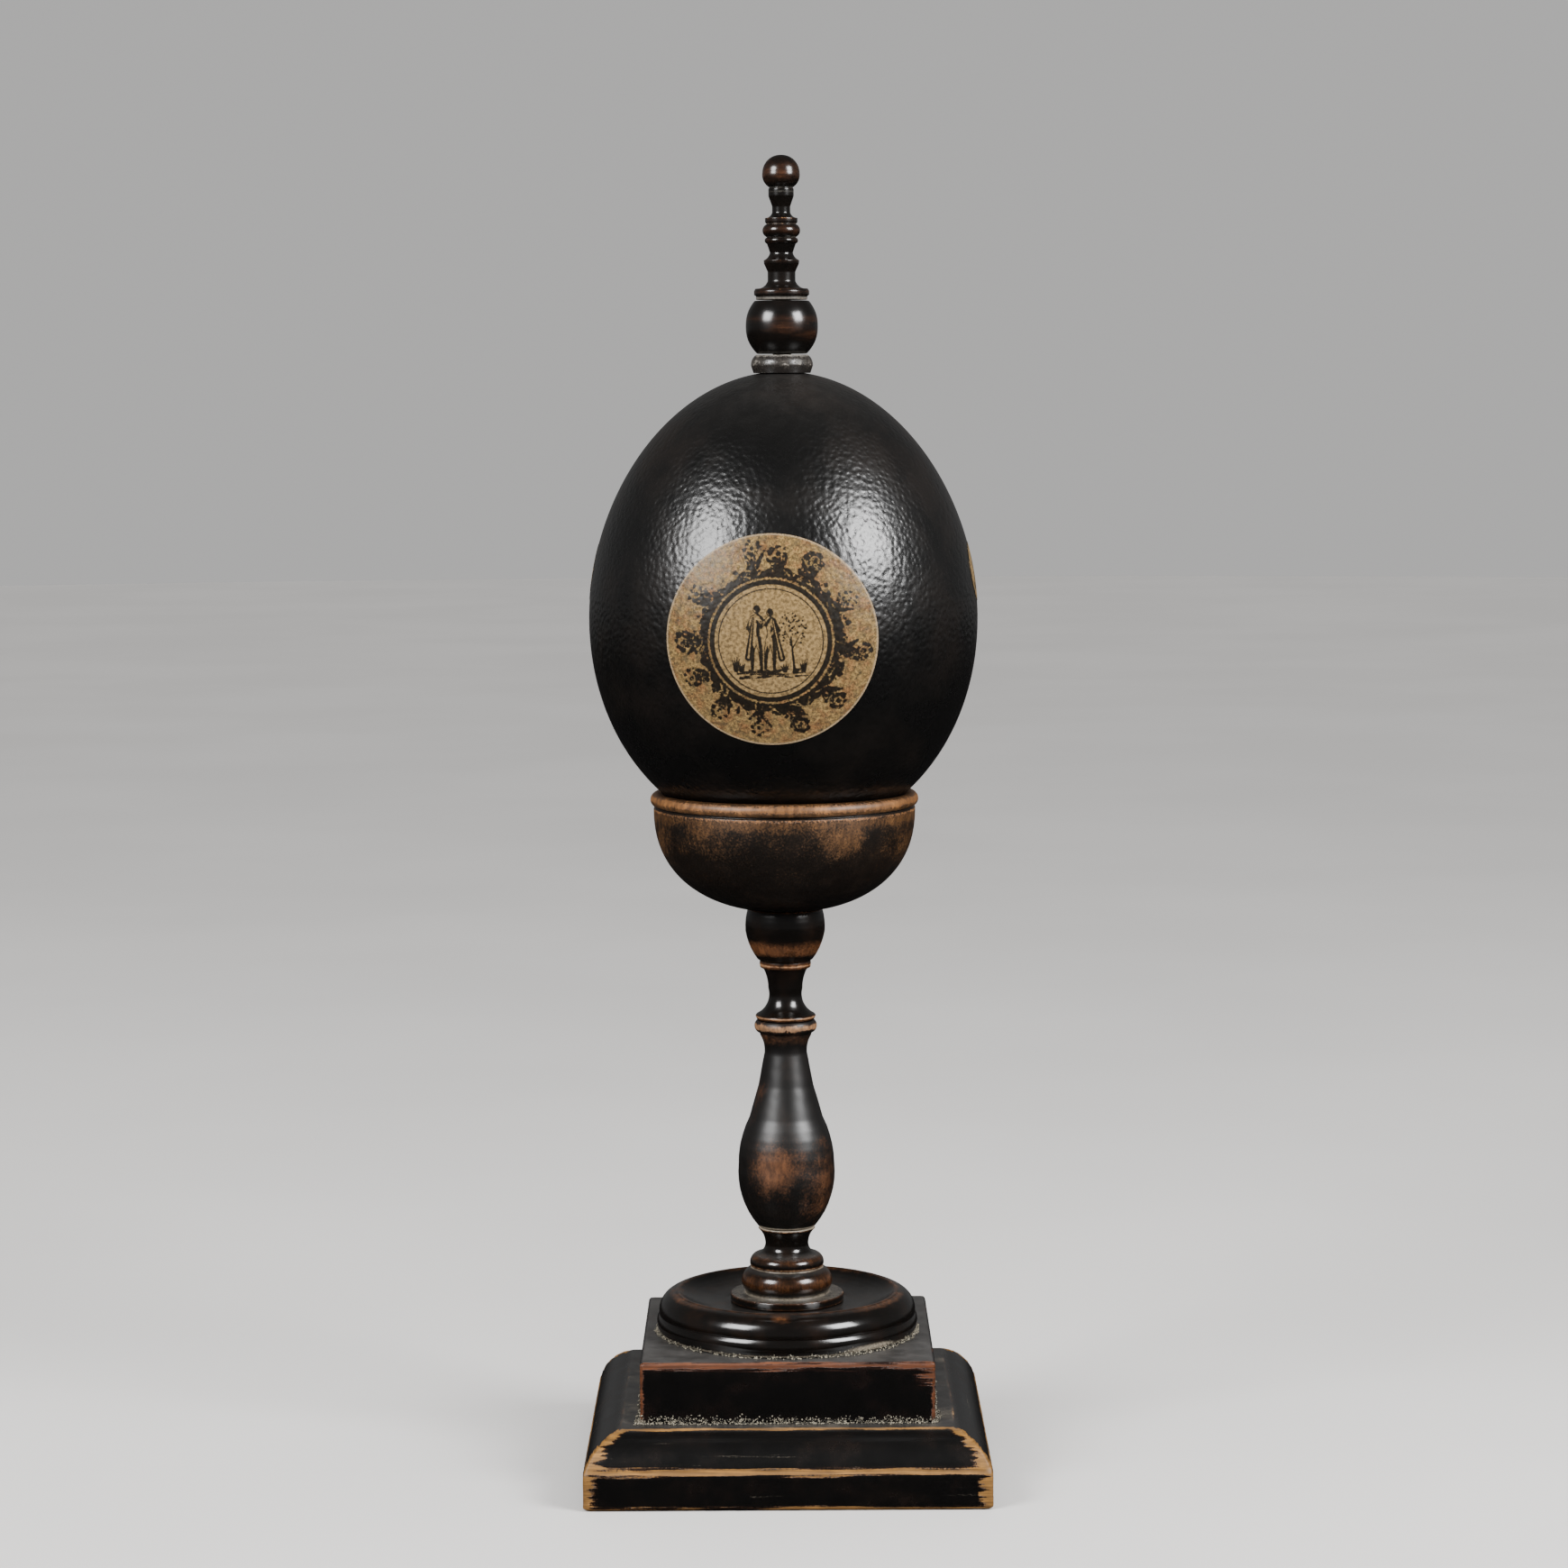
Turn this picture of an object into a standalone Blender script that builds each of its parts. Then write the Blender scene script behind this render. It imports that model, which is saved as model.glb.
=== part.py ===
"""Blackened ostrich egg on a turned wooden stand, with a turned finial.

Every turned piece is an outline of (radius, height) in millimetres, spun round the upright axis.
The origin is the middle of the plinth's underside and +Z points up.
"""
import math

import bmesh
import bpy
from mathutils import Vector

MM = 0.001
GAP = 0.3                      # clearance between two pieces that touch

# Square plinth
LOWER_HALF = 66.9              # half the width of the lower block
LOWER_FACE = 12.4              # height of its upright face
LEDGE_HALF = 54.6              # half the width of the flat ledge above its rounded slope
LEDGE_Z = 24.0
SLOPE_BULGE = 2.1
UPPER_HALF = 48.6
UPPER_TOP_Z = 44.4
EDGE_ROUND = 0.7               # worn rounding along the blocks' edges

# Dished round foot
DISH_RADIUS = 44.1
DISH_CREST_RADIUS = 37.2
DISH_CREST_Z = 58.0
DISH_FLOOR_Z = 54.3

# Stem
FOOT_DISC_RADIUS = 19.2
FOOT_KNOP_RADIUS = 15.3
FOOT_TOP_Z = 79.9
VASE_RADIUS = 16.2
VASE_WIDEST_Z = 101.4
VASE_NECK_RADIUS = 7.1
RING_RADIUS = 10.6
RING_TOP_Z = 150.7
KNOP_RADIUS = 13.4
KNOP_NECK_RADIUS = 5.8
KNOP_TOP_Z = 188.7

# Egg cup
CUP_RIM_RADIUS = 44.9
CUP_RIM_Z = 228.1
CUP_BODY_RADIUS = 43.9
CUP_BODY_TOP_Z = 222.9
CUP_BODY_LOW_Z = 187.8         # where the bowl's curve would reach the axis
CUP_BODY_POWER = 2.3           # fullness of the bowl's curve

# Egg
EGG_RADIUS = 64.8
EGG_HALF_HEIGHT = 78.2
EGG_CENTRE_Z = 290.1
EGG_TAPER = 0.053              # how much slimmer the upper end is
EGG_STEPS = 24

# Finial
COLLAR_RADIUS = 10.3
COLLAR_TOP_Z = 373.8
BALL_RADIUS = 12.0
BALL_WIDEST_Z = 383.0
BALL_TOP_Z = 391.6
SPIRE_DISC_RADIUS = 9.15
TOP_BALL_RADIUS = 6.15
TOP_BALL_HALF_HEIGHT = 5.7
TOP_Z = 439.5

# Round tenons and the sockets that hold them: (tenon radius, tenon length)
FOOT_TENON = (6.0, 6.6)
VASE_TENON = (4.0, 7.6)
KNOP_LOW_TENON = (3.0, 7.6)
KNOP_TOP_TENON = (6.0, 8.0)
COLLAR_PEG = (3.0, 9.8)
BALL_TENON = (3.0, 2.4)
SPIRE_TENON = (3.0, 5.9)

ARC_STEP = math.radians(30)    # turn of an arc that one straight facet stands for


def arc(start, end, bulge):
    """Points after start up to end, on an arc that swells outward by bulge, or hollows if negative."""
    chord = math.dist(start, end)
    sweep = 4 * math.atan2(2 * abs(bulge), chord)
    steps = max(2, math.ceil(sweep / ARC_STEP))
    radius = chord / (2 * math.sin(sweep / 2))
    side = math.copysign(1.0, bulge)
    out_r = (start[1] - end[1]) / chord * side
    out_z = (end[0] - start[0]) / chord * side
    points = []
    for step in range(1, steps):
        turn = sweep * (step / steps - 0.5)
        along = 0.5 + radius * math.sin(turn) / chord
        rise = radius * math.cos(turn) - radius * math.cos(sweep / 2)
        points.append((start[0] + (end[0] - start[0]) * along + out_r * rise,
                       start[1] + (end[1] - start[1]) * along + out_z * rise))
    points.append((end[0], end[1]))
    return points


def outline(*moves):
    """Outline from the top down: (r, z) is a straight move, (r, z, bulge) an arc."""
    points = [moves[0]]
    for move in moves[1:]:
        if len(move) == 3:
            points += arc(points[-1], move[:2], move[2])
        else:
            points.append(move)
    return points


def tenon_below(tenon, shoulder):
    """Round tenon under a shoulder, closing an outline on the axis."""
    radius, length = tenon
    return (radius, shoulder), (radius, shoulder - length), (0, shoulder - length)


def tenon_above(tenon, shoulder):
    """Round tenon that stands on a shoulder, opening an outline on the axis."""
    radius, length = tenon
    return (0, shoulder + length), (radius, shoulder + length), (radius, shoulder)


def socket_above(tenon, face):
    """Round socket sunk in an upper face, opening an outline on the axis."""
    radius, depth = tenon[0] + GAP, tenon[1] + 2 * GAP
    return (0, face - depth), (radius, face - depth), (radius, face)


def socket_below(tenon, face):
    """Round socket sunk in an underside, closing an outline on the axis."""
    radius, depth = tenon[0] + GAP, tenon[1] + 2 * GAP
    return (radius, face), (radius, face + depth), (0, face + depth)


def egg_point(angle, grow=0.0):
    """Point of the egg's outline at an angle from its widest level, or of one that clears it by grow."""
    rise = math.sin(angle)
    radius = (EGG_RADIUS + grow) * math.cos(angle) * (1 - EGG_TAPER * rise)
    return max(radius, 0.0), EGG_CENTRE_Z + (EGG_HALF_HEIGHT + grow) * rise


def bowl_curve(bottom_radius, steps):
    """Outer curve of the cup's bowl, from under its rim groove to its flat underside."""
    depth = CUP_BODY_TOP_Z - CUP_BODY_LOW_Z
    end = math.acos((bottom_radius / CUP_BODY_RADIUS) ** (CUP_BODY_POWER / 2))
    points = []
    for step in range(steps + 1):
        angle = end * step / steps
        points.append((CUP_BODY_RADIUS * math.cos(angle) ** (2 / CUP_BODY_POWER),
                       CUP_BODY_TOP_Z - depth * math.sin(angle) ** (2 / CUP_BODY_POWER)))
    return points


def finish_material(name, color, roughness, metallic=0.0):
    material = bpy.data.materials.new(name)
    material.use_nodes = True
    shader = material.node_tree.nodes["Principled BSDF"]
    shader.inputs["Base Color"].default_value = (*color, 1.0)
    shader.inputs["Roughness"].default_value = roughness
    shader.inputs["Metallic"].default_value = metallic
    material.diffuse_color = (*color, 1.0)
    return material


def add_object(name, bm, material, smooth):
    bmesh.ops.recalc_face_normals(bm, faces=bm.faces)
    mesh = bpy.data.meshes.new(name)
    bm.to_mesh(mesh)
    bm.free()
    if smooth:
        mesh.shade_smooth()
        mesh.set_sharp_from_angle(angle=math.radians(40))
    mesh.materials.append(material)
    piece = bpy.data.objects.new(name, mesh)
    bpy.context.scene.collection.objects.link(piece)
    return piece


def turned(name, points, segments, material):
    """Spin an outline round the upright axis into one closed piece."""
    bm = bmesh.new()
    verts = [bm.verts.new((r * MM, 0.0, z * MM)) for r, z in points]
    edges = [bm.edges.new(pair) for pair in zip(verts, verts[1:])]
    bmesh.ops.spin(bm, geom=verts + edges, cent=(0, 0, 0), axis=(0, 0, 1),
                   angle=2 * math.pi, steps=segments, use_merge=True)
    bmesh.ops.remove_doubles(bm, verts=bm.verts, dist=0.00001)
    return add_object(name, bm, material, smooth=True)


def square_ring(bm, half, height, corner):
    """Ring of points round a square whose corners are rounded."""
    ring = []
    for quarter in range(4):
        middle = math.radians(45 + 90 * quarter)
        for swing in (-45, 0, 45):
            angle = middle + math.radians(swing)
            reach = (half - corner) * math.sqrt(2)
            ring.append(bm.verts.new(Vector((
                reach * math.cos(middle) + corner * math.cos(angle),
                reach * math.sin(middle) + corner * math.sin(angle),
                height)) * MM))
    return ring


def square_block(name, levels, material):
    """Block of square rings, one above the other, each (half width, height)."""
    bm = bmesh.new()
    rings = [square_ring(bm, half, height, EDGE_ROUND) for half, height in levels]
    for low, high in zip(rings, rings[1:]):
        count = len(low)
        for i in range(count):
            j = (i + 1) % count
            bm.faces.new((low[i], low[j], high[j], high[i]))
    bm.faces.new(reversed(rings[0]))
    bm.faces.new(rings[-1])
    return add_object(name, bm, material, smooth=False)


def lower_plinth():
    soft = EDGE_ROUND
    levels = [(LOWER_HALF - soft, 0.0), (LOWER_HALF, soft), (LOWER_HALF, LOWER_FACE - soft)]
    slope = arc((LEDGE_HALF, LEDGE_Z), (LOWER_HALF - soft / 2, LOWER_FACE), SLOPE_BULGE)
    levels += list(reversed(slope)) + [(LEDGE_HALF, LEDGE_Z)]
    return square_block("lower_plinth", levels, finish_material("plinth_lower", (0.02, 0.016, 0.013), 0.4))


def upper_plinth():
    soft = EDGE_ROUND
    base = LEDGE_Z + GAP
    levels = [(UPPER_HALF - soft / 2, base), (UPPER_HALF, base + soft / 2),
              (UPPER_HALF, UPPER_TOP_Z - soft), (UPPER_HALF - soft, UPPER_TOP_Z)]
    return square_block("upper_plinth", levels, finish_material("plinth_upper", (0.025, 0.014, 0.01), 0.4))


def dished_foot():
    base = UPPER_TOP_Z + GAP
    points = outline(
        *socket_above(FOOT_TENON, DISH_FLOOR_Z),
        (FOOT_DISC_RADIUS + 0.6, DISH_FLOOR_Z),
        (DISH_CREST_RADIUS - 1.0, DISH_CREST_Z - 0.3, -1.5),
        (DISH_CREST_RADIUS + 0.6, DISH_CREST_Z - 0.2, 0.3),
        (DISH_RADIUS, base + 1.8, 2.1),
        (DISH_RADIUS - 0.6, base, 0.2),
        (0, base))
    return turned("dished_foot", points, 32, finish_material("foot", (0.018, 0.013, 0.011), 0.22))


def stem_foot():
    disc = DISH_FLOOR_Z + GAP
    points = outline(
        *socket_above(VASE_TENON, FOOT_TOP_Z),
        (9.0, FOOT_TOP_Z),
        (9.6, FOOT_TOP_Z - 0.6, 0.15),
        (7.3, 74.0, -0.6),
        (10.9, 70.4, -1.0),
        (12.4, 66.7, 0.7),
        (12.0, 66.2),
        (12.7, 65.7),
        (FOOT_KNOP_RADIUS, 62.2, 0.5),
        (14.2, 58.3, 0.5),
        (14.2, disc + 2.7),
        (18.6, disc + 2.6),
        (FOOT_DISC_RADIUS, disc + 2.0, 0.2),
        (FOOT_DISC_RADIUS, disc),
        *tenon_below(FOOT_TENON, disc))
    return turned("stem_foot", points, 24, finish_material("stem_foot", (0.035, 0.018, 0.012), 0.25))


def stem_vase():
    seam = FOOT_TOP_Z + GAP
    points = outline(
        *socket_above(KNOP_LOW_TENON, RING_TOP_Z),
        (9.6, RING_TOP_Z),
        (9.7, RING_TOP_Z - 3.9, RING_RADIUS - 9.65),
        (8.8, 146.3),
        (8.6, 145.5),
        (VASE_NECK_RADIUS, 139.6, -0.45),
        (12.4, 117.4, -0.45),
        (VASE_RADIUS, VASE_WIDEST_Z, 1.0),
        (9.9, seam + 0.3, 2.2),
        (9.5, seam),
        *tenon_below(VASE_TENON, seam))
    return turned("stem_vase", points, 24, finish_material("stem_vase", (0.05, 0.022, 0.012), 0.28))


def stem_knop():
    seam = RING_TOP_Z + GAP
    points = outline(
        *tenon_above(KNOP_TOP_TENON, KNOP_TOP_Z),
        (12.5, KNOP_TOP_Z),
        (KNOP_RADIUS, 181.0, 0.35),
        (9.4, 171.5, 0.6),
        (8.5, 170.9),
        (8.4, 168.6, 0.2),
        (7.3, 168.0),
        (KNOP_NECK_RADIUS, 161.4, -0.4),
        (9.6, 152.8, -1.7),
        (10.2, 152.0, 0.1),
        (9.7, seam),
        *tenon_below(KNOP_LOW_TENON, seam))
    return turned("stem_knop", points, 24, finish_material("stem_knop", (0.03, 0.016, 0.011), 0.25))


def egg_cup():
    underside = KNOP_TOP_Z + GAP
    step = math.pi / EGG_STEPS
    bowl = [egg_point(-math.pi / 2 + i * step, GAP + 0.05) for i in range(6)]
    rim = outline(
        bowl[-1],
        (42.4, CUP_RIM_Z),
        (CUP_RIM_RADIUS, 226.2, 0.6),
        (44.2, 224.0, 0.3),
        (43.3, 223.6),
        (43.3, 223.3))
    body = bowl_curve(14.5, 9)
    points = bowl[:-1] + rim + body + list(socket_below(KNOP_TOP_TENON, underside))
    points[-4] = (14.0, underside)
    return turned("egg_cup", points, 32, finish_material("cup", (0.06, 0.032, 0.018), 0.38))


def ostrich_egg():
    """One solid egg, with the blow hole at its top that takes the finial's peg."""
    hole, depth = COLLAR_PEG[0] + GAP, COLLAR_PEG[1] + 2 * GAP
    lip_angle = math.acos(hole / (EGG_RADIUS * (1 - EGG_TAPER)))
    lip = egg_point(lip_angle)
    step = math.pi / EGG_STEPS
    points = [(0, lip[1] - depth), (hole, lip[1] - depth), lip]
    points += [egg_point(math.pi / 2 - i * step) for i in range(1, EGG_STEPS + 1)]
    return turned("ostrich_egg", points, 32, finish_material("egg", (0.012, 0.011, 0.01), 0.35))


def finial_collar():
    base = EGG_CENTRE_Z + EGG_HALF_HEIGHT + GAP
    points = outline(
        *socket_above(BALL_TENON, COLLAR_TOP_Z),
        (8.6, COLLAR_TOP_Z),
        (COLLAR_RADIUS, base + 1.6, 0.5),
        (COLLAR_RADIUS - 0.3, base),
        *tenon_below(COLLAR_PEG, base))
    return turned("finial_collar", points, 20, finish_material("collar", (0.10, 0.09, 0.08), 0.5))


def finial_ball():
    base = COLLAR_TOP_Z + GAP
    points = outline(
        *socket_above(SPIRE_TENON, BALL_TOP_Z),
        (9.0, BALL_TOP_Z),
        (BALL_RADIUS, BALL_WIDEST_Z, 0.95),
        (8.2, base, 1.4),
        *tenon_below(BALL_TENON, base))
    return turned("finial_ball", points, 20, finish_material("ball", (0.03, 0.016, 0.012), 0.25))


def finial_spire():
    base = BALL_TOP_Z + GAP
    ball_z = TOP_Z - TOP_BALL_HALF_HEIGHT
    points = outline(
        (0, TOP_Z),
        (TOP_BALL_RADIUS, ball_z, 1.75),
        (3.8, 428.8, 0.9),
        (4.2, 428.4),
        (4.2, 426.0),
        (3.0, 422.6),
        (3.0, 420.6),
        (5.4, 418.8, -0.5),
        (5.4, 417.4),
        (4.8, 416.8),
        (5.1, 412.7, 1.3),
        (4.7, 412.4),
        (4.8, 410.4, 0.8),
        (3.8, 407.4),
        (5.9, 404.9, -0.4),
        (5.8, 403.8),
        (4.6, 401.2),
        (4.6, 398.2),
        (8.7, 395.6, -0.9),
        (SPIRE_DISC_RADIUS, 394.8),
        (SPIRE_DISC_RADIUS, 393.5),
        (8.5, 393.1),
        (8.5, base),
        *tenon_below(SPIRE_TENON, base))
    return turned("finial_spire", points, 16, finish_material("spire", (0.03, 0.017, 0.012), 0.27))


def clear_scene():
    for old in list(bpy.data.objects):
        bpy.data.objects.remove(old, do_unlink=True)


def main():
    clear_scene()
    stand = bpy.data.objects.new("stand_axis", None)
    bpy.context.scene.collection.objects.link(stand)
    makers = (lower_plinth, upper_plinth, dished_foot, stem_foot, stem_vase, stem_knop,
              egg_cup, ostrich_egg, finial_collar, finial_ball, finial_spire)
    for make in makers:
        make().parent = stand


main()
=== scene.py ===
"""Blackened ostrich egg on a turned wooden stand: the finish of every piece, and a plain studio.

Outlines are in millimetres, (radius, height above the floor), and every piece that stands for a solid in
the frame is checked against it.
"""
import math

import bpy
import numpy as np
from mathutils import Matrix, Vector, noise


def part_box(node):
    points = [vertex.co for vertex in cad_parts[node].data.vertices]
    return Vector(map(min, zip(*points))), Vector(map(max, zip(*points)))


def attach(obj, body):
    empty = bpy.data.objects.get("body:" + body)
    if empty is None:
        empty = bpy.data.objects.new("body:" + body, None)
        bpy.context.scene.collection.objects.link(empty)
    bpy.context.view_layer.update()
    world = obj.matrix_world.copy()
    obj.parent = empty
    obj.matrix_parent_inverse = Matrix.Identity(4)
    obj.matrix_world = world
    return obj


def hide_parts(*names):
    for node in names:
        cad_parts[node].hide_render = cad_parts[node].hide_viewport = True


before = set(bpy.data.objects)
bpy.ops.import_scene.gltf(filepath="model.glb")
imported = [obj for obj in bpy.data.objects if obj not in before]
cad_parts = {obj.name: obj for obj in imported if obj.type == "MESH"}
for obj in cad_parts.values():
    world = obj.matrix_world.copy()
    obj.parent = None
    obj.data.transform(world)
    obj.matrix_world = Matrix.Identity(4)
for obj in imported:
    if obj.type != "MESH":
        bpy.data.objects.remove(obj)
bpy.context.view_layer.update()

bl_info = {
    "name": "Egg on a Turned Stand",
    "version": (1, 0, 0),
    "blender": (4, 5, 0),
    "location": "3D View > Sidebar > Egg Stand",
    "description": "Builds a blackened ostrich egg on a turned wooden stand, with its worn lacquer",
    "category": "Object",
}

MM = 0.001
GAP = 0.3                          # clearance between two pieces that touch, in mm
FRONT = -90.0                      # azimuth of the side that faces the viewer, in degrees
FIT_TOLERANCE = 0.5                # how far a piece may differ from its solid in the frame, in mm
ROOT = "root"


# ---------------------------------------------------------------- sizes taken from the frame, in mm

def frame_size(node):
    """(half width, lowest height, highest height) of a solid in the frame."""
    low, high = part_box(node)
    return (high.x - low.x) / 2 / MM, low.z / MM, high.z / MM


LOWER_HALF, _, LEDGE_Z = frame_size("lower_plinth")
UPPER_HALF, _, UPPER_TOP_Z = frame_size("upper_plinth")
DISH_RADIUS, _, DISH_CREST_Z = frame_size("dished_foot")
FOOT_DISC_RADIUS, _, FOOT_TOP_Z = frame_size("stem_foot")
VASE_RADIUS, _, RING_TOP_Z = frame_size("stem_vase")
KNOP_RADIUS, _, KNOP_PEG_Z = frame_size("stem_knop")
CUP_RIM_RADIUS, _, CUP_RIM_Z = frame_size("egg_cup")
EGG_RADIUS, EGG_LOW_Z, _ = frame_size("ostrich_egg")
COLLAR_RADIUS, _, COLLAR_TOP_Z = frame_size("finial_collar")
BALL_RADIUS, _, BALL_TOP_Z = frame_size("finial_ball")
DISC_RADIUS, _, TOP_Z = frame_size("finial_spire")

# Tenons and the sockets that hold them: (radius, length)
FOOT_TENON = (6.0, 6.6)
VASE_TENON = (4.0, 7.6)
KNOP_LOW_TENON = (3.0, 7.6)
KNOP_TOP_TENON = (6.0, 8.0)
COLLAR_PEG = (3.0, 9.8)
BALL_TENON = (3.0, 2.4)
SPIRE_TENON = (3.0, 5.9)

LOWER_FACE = 12.4                  # height of the lower block's upright face
LEDGE_HALF = 54.6                  # half width of the ledge that the upper block stands on
BLOCK_CAP = 20.0                   # half width of the flat face that closes a block
DISH_FLOOR_Z = 54.3                # flat inside the dished foot
KNOP_TOP_Z = KNOP_PEG_Z - KNOP_TOP_TENON[1]
CUP_BODY_RADIUS = CUP_RIM_RADIUS - 1.0
CUP_BODY_TOP_Z = CUP_RIM_Z - 5.2
CUP_BODY_LOW_Z = 187.8             # where the bowl's curve would reach the axis
CUP_BODY_POWER = 2.3               # fullness of the bowl's curve
BALL_FULLNESS = 2.35               # how full the finial ball's curve is
EGG_TAPER = 0.053                  # how much slimmer the upper end is
EGG_HALF_HEIGHT = 78.2             # from the widest level of the egg to either end
EGG_CENTRE_Z = EGG_LOW_Z + EGG_HALF_HEIGHT
ARC_STEP = math.radians(6)         # turn of an arc that one straight facet stands for
SPIRE_SEGMENTS = 96                # facets round the thin spire
WREATH_DESIGN = 35.8               # radius that the wreath roundel's design is drawn at
PICTURE_DESIGN = 19.6              # radius of the picture with its black ring
WREATH_INSIDE = 20.0               # radius of the plain ground round the picture, inside the wreath
PICTURE_INSIDE = 8.9               # the same on a small roundel
WREATH_LEVEL = 282.7               # height of the wreath roundels' middles
PICTURE_LEVEL = 302.0              # height of the small roundels' middles
SKIN_SUNK = 0.15                   # how far a roundel's back lies inside the shell
SEAM_CORNER = 0.9                  # rounding of the seam round the upper block
SOFTBOX_SIDE = 0.52                # in metres, as the two below
SOFTBOX_AWAY = 1.25                # from the middle of the egg
FLOOR_LEVEL = -0.0003              # just under the plinth
SENSOR_WIDTH = 36.0                # of the camera, in its own millimetres


# ---------------------------------------------------------------- settings a user would change

def colour_setting(name, description, default):
    return bpy.props.FloatVectorProperty(
        name=name, description=description, subtype="COLOR", size=3, min=0.0, max=1.0, default=default)


def angle_setting(name, description, degrees):
    return bpy.props.FloatProperty(
        name=name, description=description, default=math.radians(degrees), subtype="ANGLE")


def power_setting(name, description, default):
    return bpy.props.FloatProperty(name=name, description=description, default=default, unit="POWER")


def length_setting(name, description, default):
    return bpy.props.FloatProperty(name=name, description=description, default=default, min=0.0,
                                   subtype="DISTANCE", unit="LENGTH", precision=5)


class EggStandPlinthSettings(bpy.types.PropertyGroup):
    corner_round: length_setting("Corner round", "Rounding of the upright corners", 0.0009)
    rub: length_setting("Rub", "How deep wear has eaten into the arrises", 0.00045)
    lacquer: colour_setting("Lacquer", "Black lacquer", (0.0022, 0.0020, 0.0019))
    bare_wood: colour_setting("Bare wood", "Worn wood of the lower block", (0.188, 0.086, 0.013))
    rubbed: colour_setting("Rubbed", "Thin lacquer of the lower block", (0.050, 0.020, 0.008))
    upper_bare: colour_setting("Upper bare wood", "Worn edges of the upper block", (0.086, 0.023, 0.0045))
    upper_rubbed: colour_setting("Upper rubbed", "Thin lacquer of the upper block", (0.045, 0.014, 0.007))


class EggStandTurnedSettings(bpy.types.PropertyGroup):
    segments: bpy.props.IntProperty(
        name="Segments", description="Facets round a turned piece", default=128, min=32, max=256)
    lacquer: colour_setting("Lacquer", "Black lacquer on the turned wood", (0.0030, 0.0024, 0.0020))
    rubbed: colour_setting("Rubbed", "Brown where the lacquer is rubbed thin", (0.080, 0.030, 0.010))
    bare_wood: colour_setting("Bare wood", "Wood where the lacquer is gone", (0.235, 0.120, 0.054))
    spire_rubbed: colour_setting("Finial rubbed", "Rubbed brown of the finial", (0.033, 0.013, 0.006))
    dust: colour_setting("Dust", "Pale dust and old wax in the grooves", (0.26, 0.22, 0.165))
    finial_dust: colour_setting("Finial dust", "Greyer dust in the finial's grooves", (0.15, 0.137, 0.118))


class EggStandCupSettings(bpy.types.PropertyGroup):
    lacquer: colour_setting("Lacquer", "Nearly black finish of the bowl", (0.0052, 0.0032, 0.0020))
    rubbed: colour_setting("Rubbed", "Brown of the bowl", (0.080, 0.035, 0.010))
    bare_wood: colour_setting("Bare wood", "Worn wood of the rim and upper bowl", (0.172, 0.071, 0.019))


class EggStandShellSettings(bpy.types.PropertyGroup):
    pit_depth: length_setting("Pit depth", "Depth of the shell's shallow dimples", 0.00004)
    pit_size: length_setting("Pit size", "Width of the shell's shallow dimples", 0.0042)
    lacquer: colour_setting("Lacquer", "Black lacquer on the shell", (0.0024, 0.0023, 0.0022))
    warm: colour_setting("Warm patches", "Where the lacquer has turned brown", (0.0060, 0.0043, 0.0034))


class EggStandRoundelSettings(bpy.types.PropertyGroup):
    large: length_setting("Large radius", "Radius of the wreath roundels", 0.0358)
    small: length_setting("Small radius", "Radius of the side roundels", 0.0100)
    thick: length_setting("Thickness", "How proud of the shell the print stands", 0.00010)
    ochre: colour_setting("Ochre", "Ground of the print", (0.195, 0.124, 0.044))
    sienna: colour_setting("Sienna", "Orange stains in the ground", (0.165, 0.080, 0.028))
    picture: colour_setting("Picture ground", "Ground of the picture in the middle", (0.180, 0.117, 0.048))
    ink: colour_setting("Ink", "Printing ink", (0.0032, 0.0028, 0.0024))
    edge: colour_setting("Edge", "Pale cut edge of the paper", (0.27, 0.20, 0.12))


class EggStandResidueSettings(bpy.types.PropertyGroup):
    crumb: length_setting("Crumb size", "Radius of an average crumb", 0.00025)
    density: bpy.props.FloatProperty(
        name="Density", description="Crumbs on each square metre of seam", default=7.5e6, min=0.0)
    colour: colour_setting("Colour", "Crumbs of old wax and dust", (0.235, 0.210, 0.158))


class EggStandStageSettings(bpy.types.PropertyGroup):
    distance: length_setting("Camera distance", "From the stand's axis", 1.354)
    height: length_setting("Camera height", "Above the floor", 0.3678)
    tilt: angle_setting("Tilt", "Camera's downward tilt", 5.79)
    roll: angle_setting("Roll", "Camera's roll", -0.315)
    lens: bpy.props.FloatProperty(
        name="Lens", description="Focal length", default=93.09, min=1.0, unit="CAMERA")
    floor: length_setting("Floor radius", "Radius of the floor", 6.0)
    floor_colour: colour_setting("Floor", "Plain floor", (0.58, 0.565, 0.55))
    right_power: power_setting("Right softbox", "Power of the right softbox", 33.0)
    left_power: power_setting("Left softbox", "Power of the left softbox", 27.0)


# ---------------------------------------------------------------- outlines

def arc(start, end, bulge):
    """Points after start up to end, on an arc that swells outward by bulge, or hollows if negative."""
    chord = math.dist(start, end)
    sweep = 4 * math.atan2(2 * abs(bulge), chord)
    steps = max(2, math.ceil(sweep / ARC_STEP))
    radius = chord / (2 * math.sin(sweep / 2))
    side = math.copysign(1.0, bulge)
    out_r = (start[1] - end[1]) / chord * side
    out_z = (end[0] - start[0]) / chord * side
    points = []
    for step in range(1, steps):
        turn = sweep * (step / steps - 0.5)
        along = 0.5 + radius * math.sin(turn) / chord
        rise = radius * math.cos(turn) - radius * math.cos(sweep / 2)
        points.append((start[0] + (end[0] - start[0]) * along + out_r * rise,
                       start[1] + (end[1] - start[1]) * along + out_z * rise))
    points.append((end[0], end[1]))
    return points


def outline(*moves):
    """Outline from the top down: (r, z) is a straight move, (r, z, bulge) an arc."""
    points = [moves[0]]
    for move in moves[1:]:
        if len(move) == 3:
            points += arc(points[-1], move[:2], move[2])
        else:
            points.append(move)
    return points


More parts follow.
